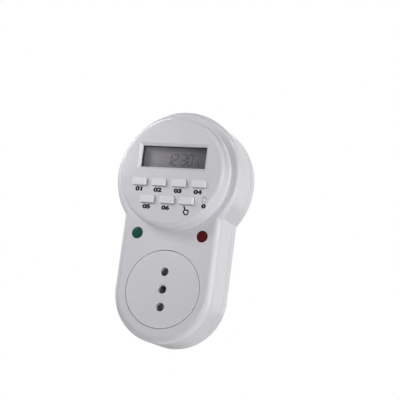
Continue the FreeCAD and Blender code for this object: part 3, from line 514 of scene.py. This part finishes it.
def finish(name, recipe, *values):
    """Material whose surface comes from a recipe and its values, made once."""
    if name not in FINISHES:
        material = FINISHES[name] = bpy.data.materials.new(name)
        material.use_nodes = True
        material.node_tree.nodes.clear()
        start = Signal(material.node_tree)
        start.node("OutputMaterial", {}, {"Surface": recipe(start, *values)})
    return FINISHES[name]


def moulded(start, rgb, roughness):
    """Moulded plastic: a fine spark-eroded grain, faint flow clouds and slightly uneven gloss."""
    cloud = start.noise(55.0, 3.0)
    fine = start.noise(2600.0, 2.0, 0.6)
    gloss = roughness - 0.04 + cloud * 0.05 + fine * 0.05
    return start.surface(cloud.shades(rgb, 0.975, 1.02), gloss, fine, 0.12, 0.02)


def tinted(start, rgb):
    """Deep tinted clear plastic with a moulded prism pattern behind its polished face."""
    cloud = start.noise(300.0)
    tone = (start.cells("F1", 1400.0) * 0.8 + cloud * 0.4).shades(rgb, 0.55, 1.6)
    return start.surface(tone, 0.12 + cloud * 0.06, cloud, 0.08, 0.02, specular=0.12)


def metal(start, rgb, roughness, scale):
    """Plain metal with fine marks and slightly uneven gloss."""
    marks = start.noise(scale, 3.0, 0.6)
    cloud = start.noise(160.0, 3.0)
    gloss = roughness - 0.05 + marks * 0.1 + cloud * 0.05
    return start.surface(cloud.shades(rgb, 0.90, 1.06), gloss, marks, 0.2, 0.01, Metallic=1.0)


def turned(start, rgb):
    """Turned metal: fine rings round the pin, and duller patches where it has been handled."""
    rings = start.node("TexWave", {"wave_type": "BANDS", "bands_direction": "Y"},
                       {"Vector": start.place(), "Scale": 1900.0, "Distortion": 0.6, "Detail": 1.0})
    cloud = start.noise(220.0, 3.0)
    return start.surface(cloud.shades(rgb, 0.88, 1.06), 0.2 + cloud * 0.16, rings, 0.12, 0.01, Metallic=1.0)


def soft_skin(start, rgb, roughness, scale, depth):
    """Rubber, lacquer or dipped coating with a soft uneven skin."""
    skin = start.noise(scale, 3.0, 0.55)
    return start.surface(skin.shades(rgb, 0.86, 1.10), roughness + skin * 0.1, skin, 0.3, depth)


def laminate(start, rgb):
    """Paper laminate of a circuit board, with fibres and paler tinned tracks."""
    fibre = start.noise(900.0, 4.0, 0.65)
    bare = start.cells("DISTANCE_TO_EDGE", 230.0) > 0.16
    tone = bare.mix((0.42, 0.40, 0.36, 1.0), fibre.shades(rgb, 0.8, 1.15))
    return start.surface(tone, 0.42 + fibre * 0.15, fibre, 0.2, 0.02, Metallic=(1.0 - bare) * 0.5)


def clear(start):
    """Clear polished plastic, which shows only a faint haze and its reflections."""
    haze = start.noise(90.0, 3.0)
    tone = haze.mix((0.30, 0.30, 0.31, 1.0), (0.36, 0.36, 0.37, 1.0))
    return start.surface(tone, 0.05 + haze * 0.03, Alpha=0.06 + haze * 0.02)


def polariser_with_painted_reflection(start, rgb):
    """Grey polariser of a reflective liquid crystal cell with a fine grain, and a painted reflection that
    makes it paler to the left.
    """
    fine = start.noise(3200.0, 1.0)
    across = start.node("SeparateXYZ", {}, {"Vector": start.place()}, "X")
    # Painted reflection: the gain runs from 2.1 at the left of the cell to 0.6 at its right.
    tone = ((across * 27.0 + 0.5).held(0.0, 1.0) + start.noise(70.0) * 0.1).shades(rgb, 2.1, 0.60)
    return start.surface(tone, 0.36 + fine * 0.05, fine, 0.06, 0.01, specular=0.2)


def ink(start, rgb):
    """Pad print: matt ink with a faintly uneven cover."""
    cover = start.noise(1500.0, 3.0)
    return start.surface(cover.shades(rgb, 0.7, 1.5), 0.45 + cover * 0.15, specular=0.2)


# Name and roughness of the plastic of each colour
PLASTICS = {"case": ("case_white", 0.20), "outlet": ("outlet_white", 0.28), "keys": ("key_white", 0.22),
            "black": ("frame_black", 0.45)}
ZINC = ("zinc_plate", metal, (0.40, 0.40, 0.41), 0.45, 1200.0)
# Nodes inside the case, and the name, the recipe and the values of their finish
WORKS = (
    ("earth_contact neutral_contact line_contact line_busbar switched_busbar neutral_busbar link_pins",
     "rolled_brass", metal, (0.75, 0.60, 0.33), 0.3, 1500.0),
    ("controller_chip rectifier_diodes relay_transistor",
     "epoxy_black", soft_skin, (0.02, 0.02, 0.02), 0.2, 500.0, 0.05),
    ("control_board power_board", "board_brown", laminate, (0.35, 0.24, 0.10)),
    ("control_board_screws power_board_screws", *ZINC),
    ("backup_cell cell_tabs", "cell_nickel", metal, (0.66, 0.66, 0.67), 0.25, 900.0),
    ("shutter_spring", "spring_polish", metal, (0.55, 0.55, 0.56), 0.25, 1800.0),
    ("contact_holder", "holder_grey", moulded, (0.32, 0.32, 0.33), 0.5),
    ("contact_strips", "strip_dark", soft_skin, (0.12, 0.12, 0.12), 0.7, 2000.0, 0.03),
    ("key_mat", "mat_grey", soft_skin, (0.55, 0.56, 0.58), 0.6, 900.0, 0.03),
    ("clock_crystal", "can_tin", metal, (0.75, 0.75, 0.76), 0.2, 700.0),
    ("relay", "relay_blue", moulded, (0.04, 0.12, 0.38), 0.35),
    ("dropper_capacitor", "film_amber", soft_skin, (0.55, 0.32, 0.05), 0.3, 400.0, 0.03),
    ("smoothing_capacitors", "sleeve_black", soft_skin, (0.03, 0.03, 0.05), 0.25, 300.0, 0.02),
    ("varistor", "coating_blue", soft_skin, (0.05, 0.16, 0.45), 0.45, 600.0, 0.06),
    ("resistors", "coating_tan", soft_skin, (0.62, 0.50, 0.32), 0.4, 800.0, 0.04),
)


def plastic(kind):
    """Moulded plastic in one of the colours that a user may change."""
    name, roughness = PLASTICS[kind]
    return finish(name, moulded, getattr(bpy.context.scene.timer_colours, kind), roughness)


def dress(nodes, material):
    """Gives carried-over CAD nodes their finish."""
    for node in nodes.split():
        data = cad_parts[node].data
        data.materials.clear()
        data.materials.append(material)
        for face in data.polygons:
            face.material_index = 0


# Pieces

def screw_places():
    """Places of the case screws, the middles of the groups that the points of their node form."""
    screws = []
    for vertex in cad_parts["case_screws"].data.vertices:
        near = [screw for screw in screws if (vertex.co - screw[0]).xz.length < SCREW_REACH]
        if near:
            near[0].append(vertex.co)
        else:
            screws.append([vertex.co])
    return [tuple((min(point[i] for point in screw) + max(point[i] for point in screw)) / 2 for i in (0, 2))
            for screw in screws]


class TIMER_OT_front_cover(bpy.types.Operator):
    """Front cover: deep lower body, ledge and raised drum, with every opening of the front"""
    bl_idname = "timer.front_cover"
    bl_label = "Front cover"

    def execute(self, context):
        sizes = context.scene.timer_case
        front = context.scene.timer_front
        wall = sizes.wall
        skin = Skin()

        outer = []
        for body_inset, depth in quarter_round(sizes.body_round, 10):
            rest = max(0.0, sizes.head_round - depth)
            head_inset = sizes.head_round - math.sqrt(sizes.head_round ** 2 - rest ** 2)
            outer.append(case_ring(sizes, body_inset, head_inset, FACE_Y + depth))
        outer += lip_rings(sizes, SEAM_Y, -1)
        groove_y = SEAM_Y - sizes.tongue
        groove = [case_ring(sizes, wall / 2, wall / 2, y) for y in (SEAM_Y, groove_y)]
        inner = [case_ring(sizes, wall, wall, y) for y in (groove_y, FACE_Y + wall)]
        skin.stepped(outer, groove, inner)

        def drum_ring(inset, y):
            """Ring of the tapered drum at a level, taken in by inset."""
            share_up = (FACE_Y - y) / (FACE_Y - HEAD_Y)
            radius = sizes.drum_foot + (sizes.drum_top - sizes.drum_foot) * share_up
            return circle(0.0, HEAD_Z, radius - inset, y, DRUM_STEPS)

        drum = [drum_ring(-inset, FACE_Y - depth) for inset, depth in quarter_round(sizes.foot_round, 6)]
        drum += [drum_ring(inset, HEAD_Y + depth)
                 for inset, depth in reversed(quarter_round(sizes.drum_round, 10))]
        drum_wall = [circle(0.0, HEAD_Z, radius - wall, y + wall, DRUM_STEPS)
                     for radius, y in ((sizes.drum_top, HEAD_Y), (sizes.drum_foot, FACE_Y))]
        skin.strip(*drum)
        skin.strip(*drum_wall)

        def opening(ring_at, front_y):
            """Wall of an opening. Returns its front ring and its back ring."""
            return skin.strip(*rounded_wall(ring_at, sizes.edge, 3, front_y, front_y + wall))

        rings = [round_ring(*middle(node), LENS_RADIUS, 1, HOLE_STEPS) for node in ("green_lens", "red_lens")]
        rings.insert(0, round_ring(0.0, 0.0, sizes.socket_radius, 1))
        fronts, backs = zip(*(opening(ring_at, FACE_Y) for ring_at in rings))
        skin.region(outer[0], (drum[0], *fronts))
        skin.region(inner[1], (drum_wall[1], *backs))
        rings = [lambda grow, y, key=node: key_ring(front, key, -front.key_gap - grow, y, 4) for node in KEYS]
        rings.append(round_ring(*middle("reset_button"), front.reset_hole, 1, BUTTON_STEPS))
        fronts, backs = zip(*(opening(ring_at, HEAD_Y) for ring_at in rings))

        # The sloping frame of the display: growth past the view, depth from the face, corner in millimetres
        edge = sizes.edge
        profile = ((front.bevel + edge, 0.0, 0.65), (front.bevel + edge * 0.35, edge * 0.2, 0.60),
                   (front.bevel - edge * 0.25, edge * 0.7, 0.55),
                   (edge * 0.3, front.bevel_depth - edge * 0.3, 0.25),
                   (0.0, front.bevel_depth + edge * 0.4, 0.25), (0.0, wall, 0.25))
        x, z = middle("window")
        slope = [rounded_box(x, z, VIEW_WIDTH + 2 * grow, VIEW_HEIGHT + 2 * grow, corner * MM, HEAD_Y + depth)
                 for grow, depth, corner in profile]
        skin.strip(*slope)
        skin.region(drum[-1], (*fronts, slope[0]))
        skin.region(drum_wall[0], (*backs, slope[-1]))
        skin.piece("case_front", plastic("case"), "white_plastic", replaces=["front_cover"])
        return {"FINISHED"}


class TIMER_OT_rear_cover(bpy.types.Operator):
    """Rear cover: shallow tray with a pad round the plug pins and six screw recesses"""
    bl_idname = "timer.rear_cover"
    bl_label = "Rear cover"

    def execute(self, context):
        sizes = context.scene.timer_case
        wall = sizes.wall
        back_y = WALL_Y - sizes.pad_rise
        floor_y = back_y - sizes.rear_floor
        start_y = SEAM_Y + sizes.seam_gap
        recess_y = back_y - sizes.recess_depth
        tongue_y = SEAM_Y - TONGUE_SHARE * sizes.tongue
        shoulder = SHOULDER_SHARE * wall
        skin = Skin()

        outer = [case_ring(sizes, inset, inset, back_y - depth)
                 for inset, depth in quarter_round(sizes.rear_round, 8)]
        outer += lip_rings(sizes, start_y, 1)
        tongue = [case_ring(sizes, shoulder, shoulder, y) for y in (start_y, tongue_y)]
        inner = [case_ring(sizes, wall, wall, y) for y in (tongue_y, floor_y)]
        skin.stepped(outer, tongue, inner)

        pad = skin.strip(*rounded_wall(round_ring(0.0, 0.0, sizes.pad_radius, -1), PAD_EDGE, 4, WALL_Y,
                                       back_y))

        back_holes, pad_holes, floor_holes = [], [], []
        for x, z in screw_places():
            on_pad = math.hypot(x, z) < sizes.pad_radius
            well = rounded_wall(round_ring(x, z, sizes.recess_radius, 1, WELL_STEPS), WELL_EDGE, 2,
                                WALL_Y if on_pad else back_y, recess_y)
            cup = tube(x, z, sizes.recess_radius + WELL_WALL, (floor_y, recess_y - WELL_FLOOR), WELL_STEPS)
            (pad_holes if on_pad else back_holes).append(skin.blind(*well))
            floor_holes.append(skin.blind(*cup))
        for node in PINS:
            hole = skin.strip(*tube(0.0, middle(node)[1], PIN_HOLE_RADIUS, (WALL_Y, floor_y), HOLE_STEPS))
            pad_holes.append(hole[0])
            floor_holes.append(hole[1])
        skin.region(outer[0], (pad[1], *back_holes))
        skin.region(pad[0], pad_holes)
        skin.region(inner[1], floor_holes)
        skin.piece("case_rear", plastic("case"), "white_plastic", replaces=["rear_cover"])
        return {"FINISHED"}


class TIMER_OT_outlet(bpy.types.Operator):
    """Face of the outlet, with three holes in line, and the shutter behind them"""
    bl_idname = "timer.outlet"
    bl_label = "Outlet"

    def execute(self, context):
        sizes = context.scene.timer_case
        radius = sizes.socket_radius - sizes.socket_gap
        flange_y = FACE_Y + sizes.wall
        back_y = flange_y + INSERT_FLANGE
        disc = rounded_wall(round_ring(0.0, 0.0, radius, -1), INSERT_EDGE, 4, FACE_Y, flange_y)
        flange = tube(0.0, 0.0, INSERT_HIGH.x, (flange_y, back_y))
        skin = Skin()
        skin.stepped(disc, flange)
        holes = [round_ring(0.0, middle(node)[1], sizes.hole_radius, 1, HOLE_STEPS) for node in PINS]
        fronts, backs = zip(*(skin.strip(*rounded_wall(hole, sizes.hole_edge, 5, FACE_Y, back_y))
                              for hole in holes))
        bosses = [skin.blind(*tube(x, z, INSERT_BOSS_RADIUS, (back_y, INSERT_HIGH.y), BUTTON_STEPS))
                  for x, z in screw_places() if z < 0.0]
        skin.region(disc[0], fronts)
        skin.region(flange[1], (*backs, *bosses))
        skin.piece("outlet_face", plastic("outlet"), "outlet_plastic", replaces=["socket_insert"])
        dress("shutter", finish("shutter_white", moulded, (0.86, 0.85, 0.88), 0.4))
        return {"FINISHED"}


class TIMER_OT_keys(bpy.types.Operator):
    """Seven push keys and the small reset button"""
    bl_idname = "timer.keys"
    bl_label = "Keys"

    def execute(self, context):
        front = context.scene.timer_front
        for node in KEYS:
            self.button(node, "button_" + node[-1], lambda inset, y: key_ring(front, node, inset, y, 6),
                        front.key_edge, 5, KEY_FLANGE_WIDTH, PLUNGER_STEPS)
        self.button("reset_button", "reset_pin",
                    round_ring(*middle("reset_button"), PLUNGER_RADIUS, -1, BUTTON_STEPS),
                    RESET_EDGE, 4, RESET_FLANGE_RADIUS - PLUNGER_RADIUS, BUTTON_STEPS)
        return {"FINISHED"}

    def button(self, node, name, ring, edge, edge_steps, flange_width, stem_steps):
        """Button with a rounded front edge, a flange and a round stem. ring takes an inset and a level."""
        low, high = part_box(node)
        rings = rounded_wall(ring, edge, edge_steps, low.y, KEY_FLANGE_Y)
        flange = [ring(-flange_width, y) for y in (KEY_FLANGE_Y, KEY_FLANGE_END_Y)]
        stem = tube(*middle(node), PLUNGER_RADIUS, (KEY_FLANGE_END_Y, high.y), stem_steps)
        skin = Skin()
        skin.cap(rings[0])
        skin.stepped(rings, flange, stem)
        skin.cap(stem[1])
        skin.piece(name, plastic("keys"), "key_plastic", body=node, replaces=[node])


class TIMER_OT_lenses(bpy.types.Operator):
    """Green and red indicator lenses with their lamps"""
    bl_idname = "timer.lenses"
    bl_label = "Indicator lenses"

    def execute(self, context):
        colours = context.scene.timer_colours
        wall = context.scene.timer_case.wall
        radius = LENS_RADIUS - LENS_GAP
        for node, rgb in (("green_lens", colours.green), ("red_lens", colours.red)):
            low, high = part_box(node)
            x, z = middle(node)

            def ring(reach, depth):
                """Ring of the lens at a depth behind its tip."""
                return circle(x, z, reach, low.y + depth, HOLE_STEPS)

            crown = [ring(radius * k / CROWN_STEPS, LENS_CROWN * (k / CROWN_STEPS) ** 2)
                     for k in range(1, CROWN_STEPS)]
            crown += [ring(radius - LENS_GAP, LENS_CROWN), ring(radius, LENS_CROWN + LENS_EDGE),
                      ring(radius, wall)]
            flange = [ring(high.x - x, depth) for depth in (wall, wall + FLANGE_THICKNESS)]
            pipe = [ring(LENS_PIPE_RADIUS, depth) for depth in (wall + FLANGE_THICKNESS, high.y - low.y)]
            skin = Skin()
            for a, b in zip(crown[0], crown[0][1:] + crown[0][:1]):
                skin.face((Vector((x, low.y, z)), a, b))
            skin.stepped(crown, flange, pipe)
            skin.cap(pipe[1])
            skin.piece(node.replace("lens", "indicator"), finish("tinted_" + node, tinted, rgb), node,
                       replaces=[node])
        dress("green_led", finish("lamp_green", tinted, (0.15, 0.55, 0.20)))
        dress("red_led", finish("lamp_red", tinted, (0.60, 0.08, 0.06)))
        return {"FINISHED"}


# Segments of each digit, and the ends of each segment in widths and half heights
SEGMENTS = {"0": "abcdef", "1": "bc", "2": "abged", "3": "abgcd", "4": "fgbc", "5": "afgcd", "6": "afgedc",
            "7": "abc", "8": "abcdefg", "9": "abcdfg"}
SEGMENT_ENDS = {"a": ((0, 2), (1, 2)), "b": ((1, 1), (1, 2)), "c": ((1, 0), (1, 1)), "d": ((0, 0), (1, 0)),
                "e": ((0, 0), (0, 1)), "f": ((0, 1), (0, 2)), "g": ((0, 1), (1, 1))}
DIGIT_WIDTH = 0.44
DIGIT_LINE = 0.15
DIGIT_LEAN = 0.1
DIGIT_STEP = 1.42
COLON_STEP = 0.45
COLON_RISES = (0.3, 0.7)
SEGMENT_GAP = 0.12
SMALL_DIGITS = 0.4
SMALL_WIDTH = 0.6
DIGITS_X = -6.0 * MM
SMALL_DIGITS_X = 11.0 * MM
DIGITS_DROP = 3.5 * MM
DIGITS_FRONT = 0.03 * MM
DIGIT_THICKNESS = 0.02 * MM
VIEW_MARGIN = 0.4 * MM


class TIMER_OT_display(bpy.types.Operator):
    """Display: clear window, black frame, grey cell and its faint digits"""
    bl_idname = "timer.display"
    bl_label = "Display"

    def execute(self, context):
        front = context.scene.timer_front
        colours = context.scene.timer_colours

        pane = Skin()
        self.plate(pane, PANE_LOW, PANE_HIGH, PANE_EDGE)
        pane.piece("display_window", finish("polished_pane", clear), "clear_window", replaces=["window"])

        x, z = middle("display_shroud")
        plans = ((SHROUD_HIGH.x - SHROUD_LOW.x, SHROUD_HIGH.z - SHROUD_LOW.z, SHROUD_CORNER),
                 (VIEW_WIDTH + VIEW_MARGIN, VIEW_HEIGHT + VIEW_MARGIN, SHROUD_INNER_CORNER))
        outer, inner = ([rounded_box(x, z, *plan, y) for y in (SHROUD_LOW.y, SHROUD_HIGH.y)]
                        for plan in plans)
        skin = Skin()
        skin.strip(*outer)
        skin.strip(*inner)
        for rims in zip(outer, inner):
            skin.strip(*rims, level=True)
        skin.piece("display_frame", plastic("black"), "black_plastic", replaces=["display_shroud"])

        cell = Skin()
        step = Vector((0.0, 0.0, CELL_STEP))
        between_y = (CELL_LOW.y + CELL_HIGH.y) / 2
        self.plate(cell, CELL_LOW, Vector((CELL_HIGH.x, between_y - LIQUID_GAP, CELL_HIGH.z)), CELL_EDGE)
        self.plate(cell, Vector((CELL_LOW.x, between_y, CELL_LOW.z)) + step, CELL_HIGH - step, CELL_EDGE)
        cell.piece("display_cell", finish("display_grey", polariser_with_painted_reflection, colours.display), "display_glass",
                   replaces=["display_glass"])

        digits = Skin()
        height = front.digit_height
        small = height * SMALL_DIGITS
        self.row(digits, front.display_time, DIGITS_X, z - DIGITS_DROP, height * DIGIT_WIDTH, height)
        self.row(digits, "00", SMALL_DIGITS_X, z - DIGITS_DROP, small * SMALL_WIDTH, small)
        digits.piece("display_digits", finish("display_segments", polariser_with_painted_reflection, colours.segment),
                     "display_glass")
        return {"FINISHED"}

    def plate(self, skin, low, high, edge):
        """Flat plate with slightly rounded front edges."""
        x, z = (low.x + high.x) / 2, (low.z + high.z) / 2
        width, height = high.x - low.x, high.z - low.z
        rings = rounded_wall(
            lambda inset, y: rounded_box(x, z, width - 2 * inset, height - 2 * inset, PLATE_CORNER, y),
            edge, 3, low.y, high.y)
        skin.cap(rings[0])
        skin.blind(*rings)

    def row(self, skin, text, x, z, width, height):
        """Row of seven-segment digits from its lower left corner."""
        thick = height * DIGIT_LINE
        for sign in text:
            if sign == ":":
                left = x + DIGIT_LEAN * width
                for rise in COLON_RISES:
                    self.bar(skin, [(left, z + rise * height), (left + thick, z + rise * height)], thick)
                x += COLON_STEP * width
                continue
            for name in SEGMENTS[sign]:
                ends = [(x + (px + DIGIT_LEAN * pz) * width, z + pz * height / 2)
                        for px, pz in SEGMENT_ENDS[name]]
                self.bar(skin, ends, thick)
            x += DIGIT_STEP * width

    def bar(self, skin, ends, thick):
        """Pointed bar between two places, a hair in front of the cell."""
        start, end = (Vector((px, 0.0, pz)) for px, pz in ends)
        along = (end - start).normalized()
        across = Vector((-along.z, 0.0, along.x)) * thick / 2
        start, end = start + along * thick * SEGMENT_GAP, end - along * thick * SEGMENT_GAP
        inset = along * thick / 2
        outline = [start, start + inset + across, end - inset + across, end, end - inset - across,
                   start + inset - across]
        face_y = CELL_LOW.y - DIGITS_FRONT
        rings = [[Vector((p.x, y, p.z)) for p in outline] for y in (face_y, face_y + DIGIT_THICKNESS)]
        skin.cap(rings[0])
        skin.blind(*rings)


# Printed numbers, and the places of their middles in millimetres
LABELS = (("01", -17.2, 52.0), ("02", -6.3, 51.8), ("03", 5.3, 51.7), ("04", 16.7, 51.6),
          ("05", -11.5, 42.5), ("06", -0.45, 42.3), ("0", 21.0, 44.2))
LABEL_WEIGHT = 0.075
LABEL_STRETCH = 1.5
HAND_X = 11.45 * MM
HAND_Z = 41.3 * MM
HAND_REACH = 2.6 * MM
HAND_LINE = 0.75 * MM
HAND_OUTLINE = (
    (-0.72, 0.92), (-0.55, 1.0), (-0.38, 0.92), (-0.10, 0.22), (0.30, 0.26), (0.58, 0.10), (0.66, -0.18),
    (0.60, -0.62), (0.40, -0.92), (0.10, -1.0), (-0.28, -0.92), (-0.58, -0.52), (-0.68, -0.18),
    (-0.60, 0.02), (-0.42, 0.10))


class TIMER_OT_labels(bpy.types.Operator):
    """Plain numbers and a small outline of a hand, printed under the keys"""
    bl_idname = "timer.labels"
    bl_label = "Printed numbers"

    def execute(self, context):
        height = context.scene.timer_front.label_height
        material = finish("print_ink", ink, context.scene.timer_colours.print_ink)
        for text, x, z in LABELS:
            self.number(text, x * MM, z * MM, height, material)
        self.hand(material)
        return {"FINISHED"}

    def hand(self, material):
        """Outline of a hand with one finger out, printed in a line of one width."""
        corners = [Vector((px, 0.0, pz)) * HAND_REACH for px, pz in HAND_OUTLINE]
        inner = []
        for before, here, after in zip(corners[-1:] + corners, corners, corners[1:] + corners[:1]):
            first, second = (here - before).normalized(), (after - here).normalized()
            across = Vector((first.z + second.z, 0.0, -first.x - second.x)).normalized()
            inner.append(here + across * HAND_LINE)
        rings = [[Vector((HAND_X + p.x, y, HAND_Z + p.z)) for p in ring] for ring in (corners, inner)
                 for y in (HEAD_Y - PRINT_THICKNESS, HEAD_Y + PRINT_SINK)]
        skin = Skin()
        for first, second, level in ((0, 2, True), (1, 3, True), (0, 1, False), (2, 3, False)):
            skin.strip(rings[first], rings[second], level=level)
        skin.piece("printed_hand", material, "black_plastic")

    def number(self, text, x, z, height, material):
        """One printed number, as a thin layer of ink on the drum's face."""
        name = "number_" + text
        curve = bpy.data.curves.new(name, "FONT")
        curve.body = text
        curve.offset = LABEL_WEIGHT
        curve.extrude = 0.5
        curve.resolution_u = 4
        letter = bpy.data.objects.new(name, curve)
        data = bpy.data.meshes.new_from_object(letter)
        bpy.data.objects.remove(letter)
        points = [vertex.co for vertex in data.vertices]
        low, high = (Vector(pick(p[i] for p in points) for i in range(3)) for pick in (min, max))
        growth = height / (high.y - low.y)
        data.transform(Matrix.Translation(-(low + high) / 2))
        data.transform(Matrix.Diagonal((LABEL_STRETCH * growth, growth, PRINT_THICKNESS / (high.z - low.z),
                                        1.0)))
        data.transform(Matrix.Rotation(math.pi / 2, 4, "X"))
        data.transform(Matrix.Translation((x, HEAD_Y - PRINT_THICKNESS / 2 - PRINT_SINK, z)))
        data.name = name
        place_piece(name, data, material, "black_plastic")


class TIMER_OT_plug(bpy.types.Operator):
    """Finishes of the plug pins, their sleeves and the case screws"""
    bl_idname = "timer.plug"
    bl_label = "Plug and screws"

    def execute(self, context):
        dress("earth_pin line_pin neutral_pin", finish("turned_brass", turned, (0.78, 0.66, 0.40)))
        dress("line_sleeve neutral_sleeve", plastic("black"))
        dress("case_screws", finish(*ZINC))
        return {"FINISHED"}


class TIMER_OT_works(bpy.types.Operator):
    """Finishes of the works inside the case"""
    bl_idname = "timer.works"
    bl_label = "Works inside"

    def execute(self, context):
        for nodes, *values in WORKS:
            dress(nodes, finish(*values))
        dress("link_strips", plastic("black"))
        return {"FINISHED"}


# Studio

CAMERA_PLACE = (0.2838, -0.7091, -0.0960)
CAMERA_AXES = ((0.9316, 0.3408, 0.1263), (-0.0489, -0.2269, 0.9727), (0.3601, -0.9123, -0.1948))
CAMERA_LENS = 126.0
LAMP_AIM = (0.0, -0.02, 0.035)
# Name, place, width and height, whether it gives even light, and whether it shows as gloss
LAMPS = (
    ("key_lamp", (-0.16, -0.19, 0.15), (0.10, 0.10), True, True),
    ("front_lamp", (0.14, -0.42, -0.05), (0.12, 0.12), True, True),
    ("edge_lamp", (0.62, -0.60, 0.12), (0.05, 0.8), False, True),
    ("top_lamp", (0.30, -0.45, 0.75), (0.6, 0.05), False, True),
    ("side_lamp", (0.90, -0.22, 0.15), (0.18, 0.9), True, True),
    ("rim_lamp", (-0.60, 0.25, 0.55), (0.3, 0.6), True, True),
    ("back_lamp", (-0.05, 0.80, 0.20), (0.4, 0.4), True, False),
)
FLOOR_REACH = 4.0
WHITE = (1.0, 1.0, 1.0, 1.0)


class TIMER_OT_studio(bpy.types.Operator):
    """Pale floor, soft lamps, sky and the camera"""
    bl_idname = "timer.studio"
    bl_label = "Studio"

    def execute(self, context):
        scene = context.scene
        studio = scene.timer_studio
        scene.view_settings.view_transform = "Standard"

        camera = bpy.data.cameras.new("camera")
        camera.lens = CAMERA_LENS
        camera.clip_start = 0.01
        viewer = add("camera", camera)
        axes = [Vector(axis).normalized() for axis in CAMERA_AXES]
        viewer.matrix_world = Matrix.Translation(CAMERA_PLACE) @ Matrix(axes).transposed().to_4x4()
        scene.camera = viewer

        for name, *values in LAMPS:
            self.lamp(name, getattr(studio, name), *values)
        self.sky(studio.sky)

        grid = bmesh.new()
        bmesh.ops.create_grid(grid, x_segments=8, y_segments=8, size=FLOOR_REACH)
        data = bpy.data.meshes.new("floor")
        grid.to_mesh(data)
        grid.free()
        floor = add("floor", data)
        floor.location.z = frame_bounds[0][2] - studio.floor_drop
        data.materials.append(finish("pale_floor", self.floor_surface))
        return {"FINISHED"}

    def lamp(self, name, power, place, size, even, gloss):
        """Soft lamp that looks at the middle of the timer, for its even light, its gloss or both."""
        light = bpy.data.lights.new(name, "AREA")
        light.shape = "RECTANGLE"
        light.size, light.size_y = size
        light.energy = power
        made = add(name, light)
        made.location = place
        made.visible_camera = False
        made.visible_diffuse = even
        made.visible_glossy = gloss
        made.rotation_euler = (Vector(LAMP_AIM) - Vector(place)).to_track_quat("-Z", "Y").to_euler()

    def sky(self, level):
        """Even light from all round, which the camera, metal and glass see as white."""
        world = bpy.data.worlds.new("studio_sky")
        bpy.context.scene.world = world
        world.use_nodes = True
        world.node_tree.nodes.clear()
        start = Signal(world.node_tree)
        camera, glossy, through = (start.node("LightPath", output="Is %s Ray" % ray)
                                   for ray in ("Camera", "Glossy", "Transmission"))
        seen = start.math("MINIMUM", camera + glossy + through, 1.0)
        light = start.node("Background", {}, {"Color": WHITE, "Strength": seen * (1.0 - level) + level})
        start.node("OutputWorld", {}, {"Surface": light})

    def floor_surface(self, start):
        """Pale matt floor that keeps the shadow and runs into the white behind it."""
        tone = start.noise(30.0, 3.0).mix((0.86, 0.86, 0.86, 1.0), (0.90, 0.90, 0.90, 1.0))
        glow = start.node("Emission", {}, {"Color": WHITE, "Strength": 1.0})
        reach = start.node("VectorMath", {"operation": "LENGTH"}, {0: start.place()}, "Value")
        fade = ((reach - 0.2) * 1.6 + 0.35).held(0.35, 1.0)
        seen = start.node("LightPath", output="Is Camera Ray") * fade
        return start.node("MixShader", {}, {0: seen, 1: start.surface(tone, 0.8), 2: glow})


PIECE_OPERATORS = (
    TIMER_OT_front_cover, TIMER_OT_rear_cover, TIMER_OT_outlet, TIMER_OT_keys, TIMER_OT_lenses,
    TIMER_OT_display, TIMER_OT_labels, TIMER_OT_plug, TIMER_OT_works, TIMER_OT_studio,
)


class TIMER_PT_panel(bpy.types.Panel):
    """Buttons that build the timer, and its sizes, colours and lamps"""
    bl_idname = "TIMER_PT_panel"
    bl_label = "Weekly timer"
    bl_space_type = "VIEW_3D"
    bl_region_type = "UI"
    bl_category = "Timer"

    def draw(self, context):
        layout = self.layout
        for operator in PIECE_OPERATORS:
            layout.operator(operator.bl_idname)
        for name in GROUPS:
            group = getattr(context.scene, name)
            box = layout.box()
            box.label(text=group.bl_rna.name)
            for key in group.__annotations__:
                box.prop(group, key)


GROUPS = {"timer_case": TimerCaseSizes, "timer_front": TimerFrontSizes, "timer_colours": TimerColours,
          "timer_studio": TimerStudio}


def register():
    """Registers the groups, the operators and the panel."""
    for name, group in GROUPS.items():
        bpy.utils.register_class(group)
        setattr(bpy.types.Scene, name, PointerProperty(type=group))
    for kind in (*PIECE_OPERATORS, TIMER_PT_panel):
        bpy.utils.register_class(kind)


def unregister():
    """Removes what register added."""
    for kind in (TIMER_PT_panel, *reversed(PIECE_OPERATORS)):
        bpy.utils.unregister_class(kind)
    for name, group in reversed(GROUPS.items()):
        delattr(bpy.types.Scene, name)
        bpy.utils.unregister_class(group)


def main():
    """Builds every piece and the studio."""
    register()
    for operator in PIECE_OPERATORS:
        getattr(bpy.ops.timer, operator.bl_idname.split(".")[1])()


if __name__ == "__main__":
    main()
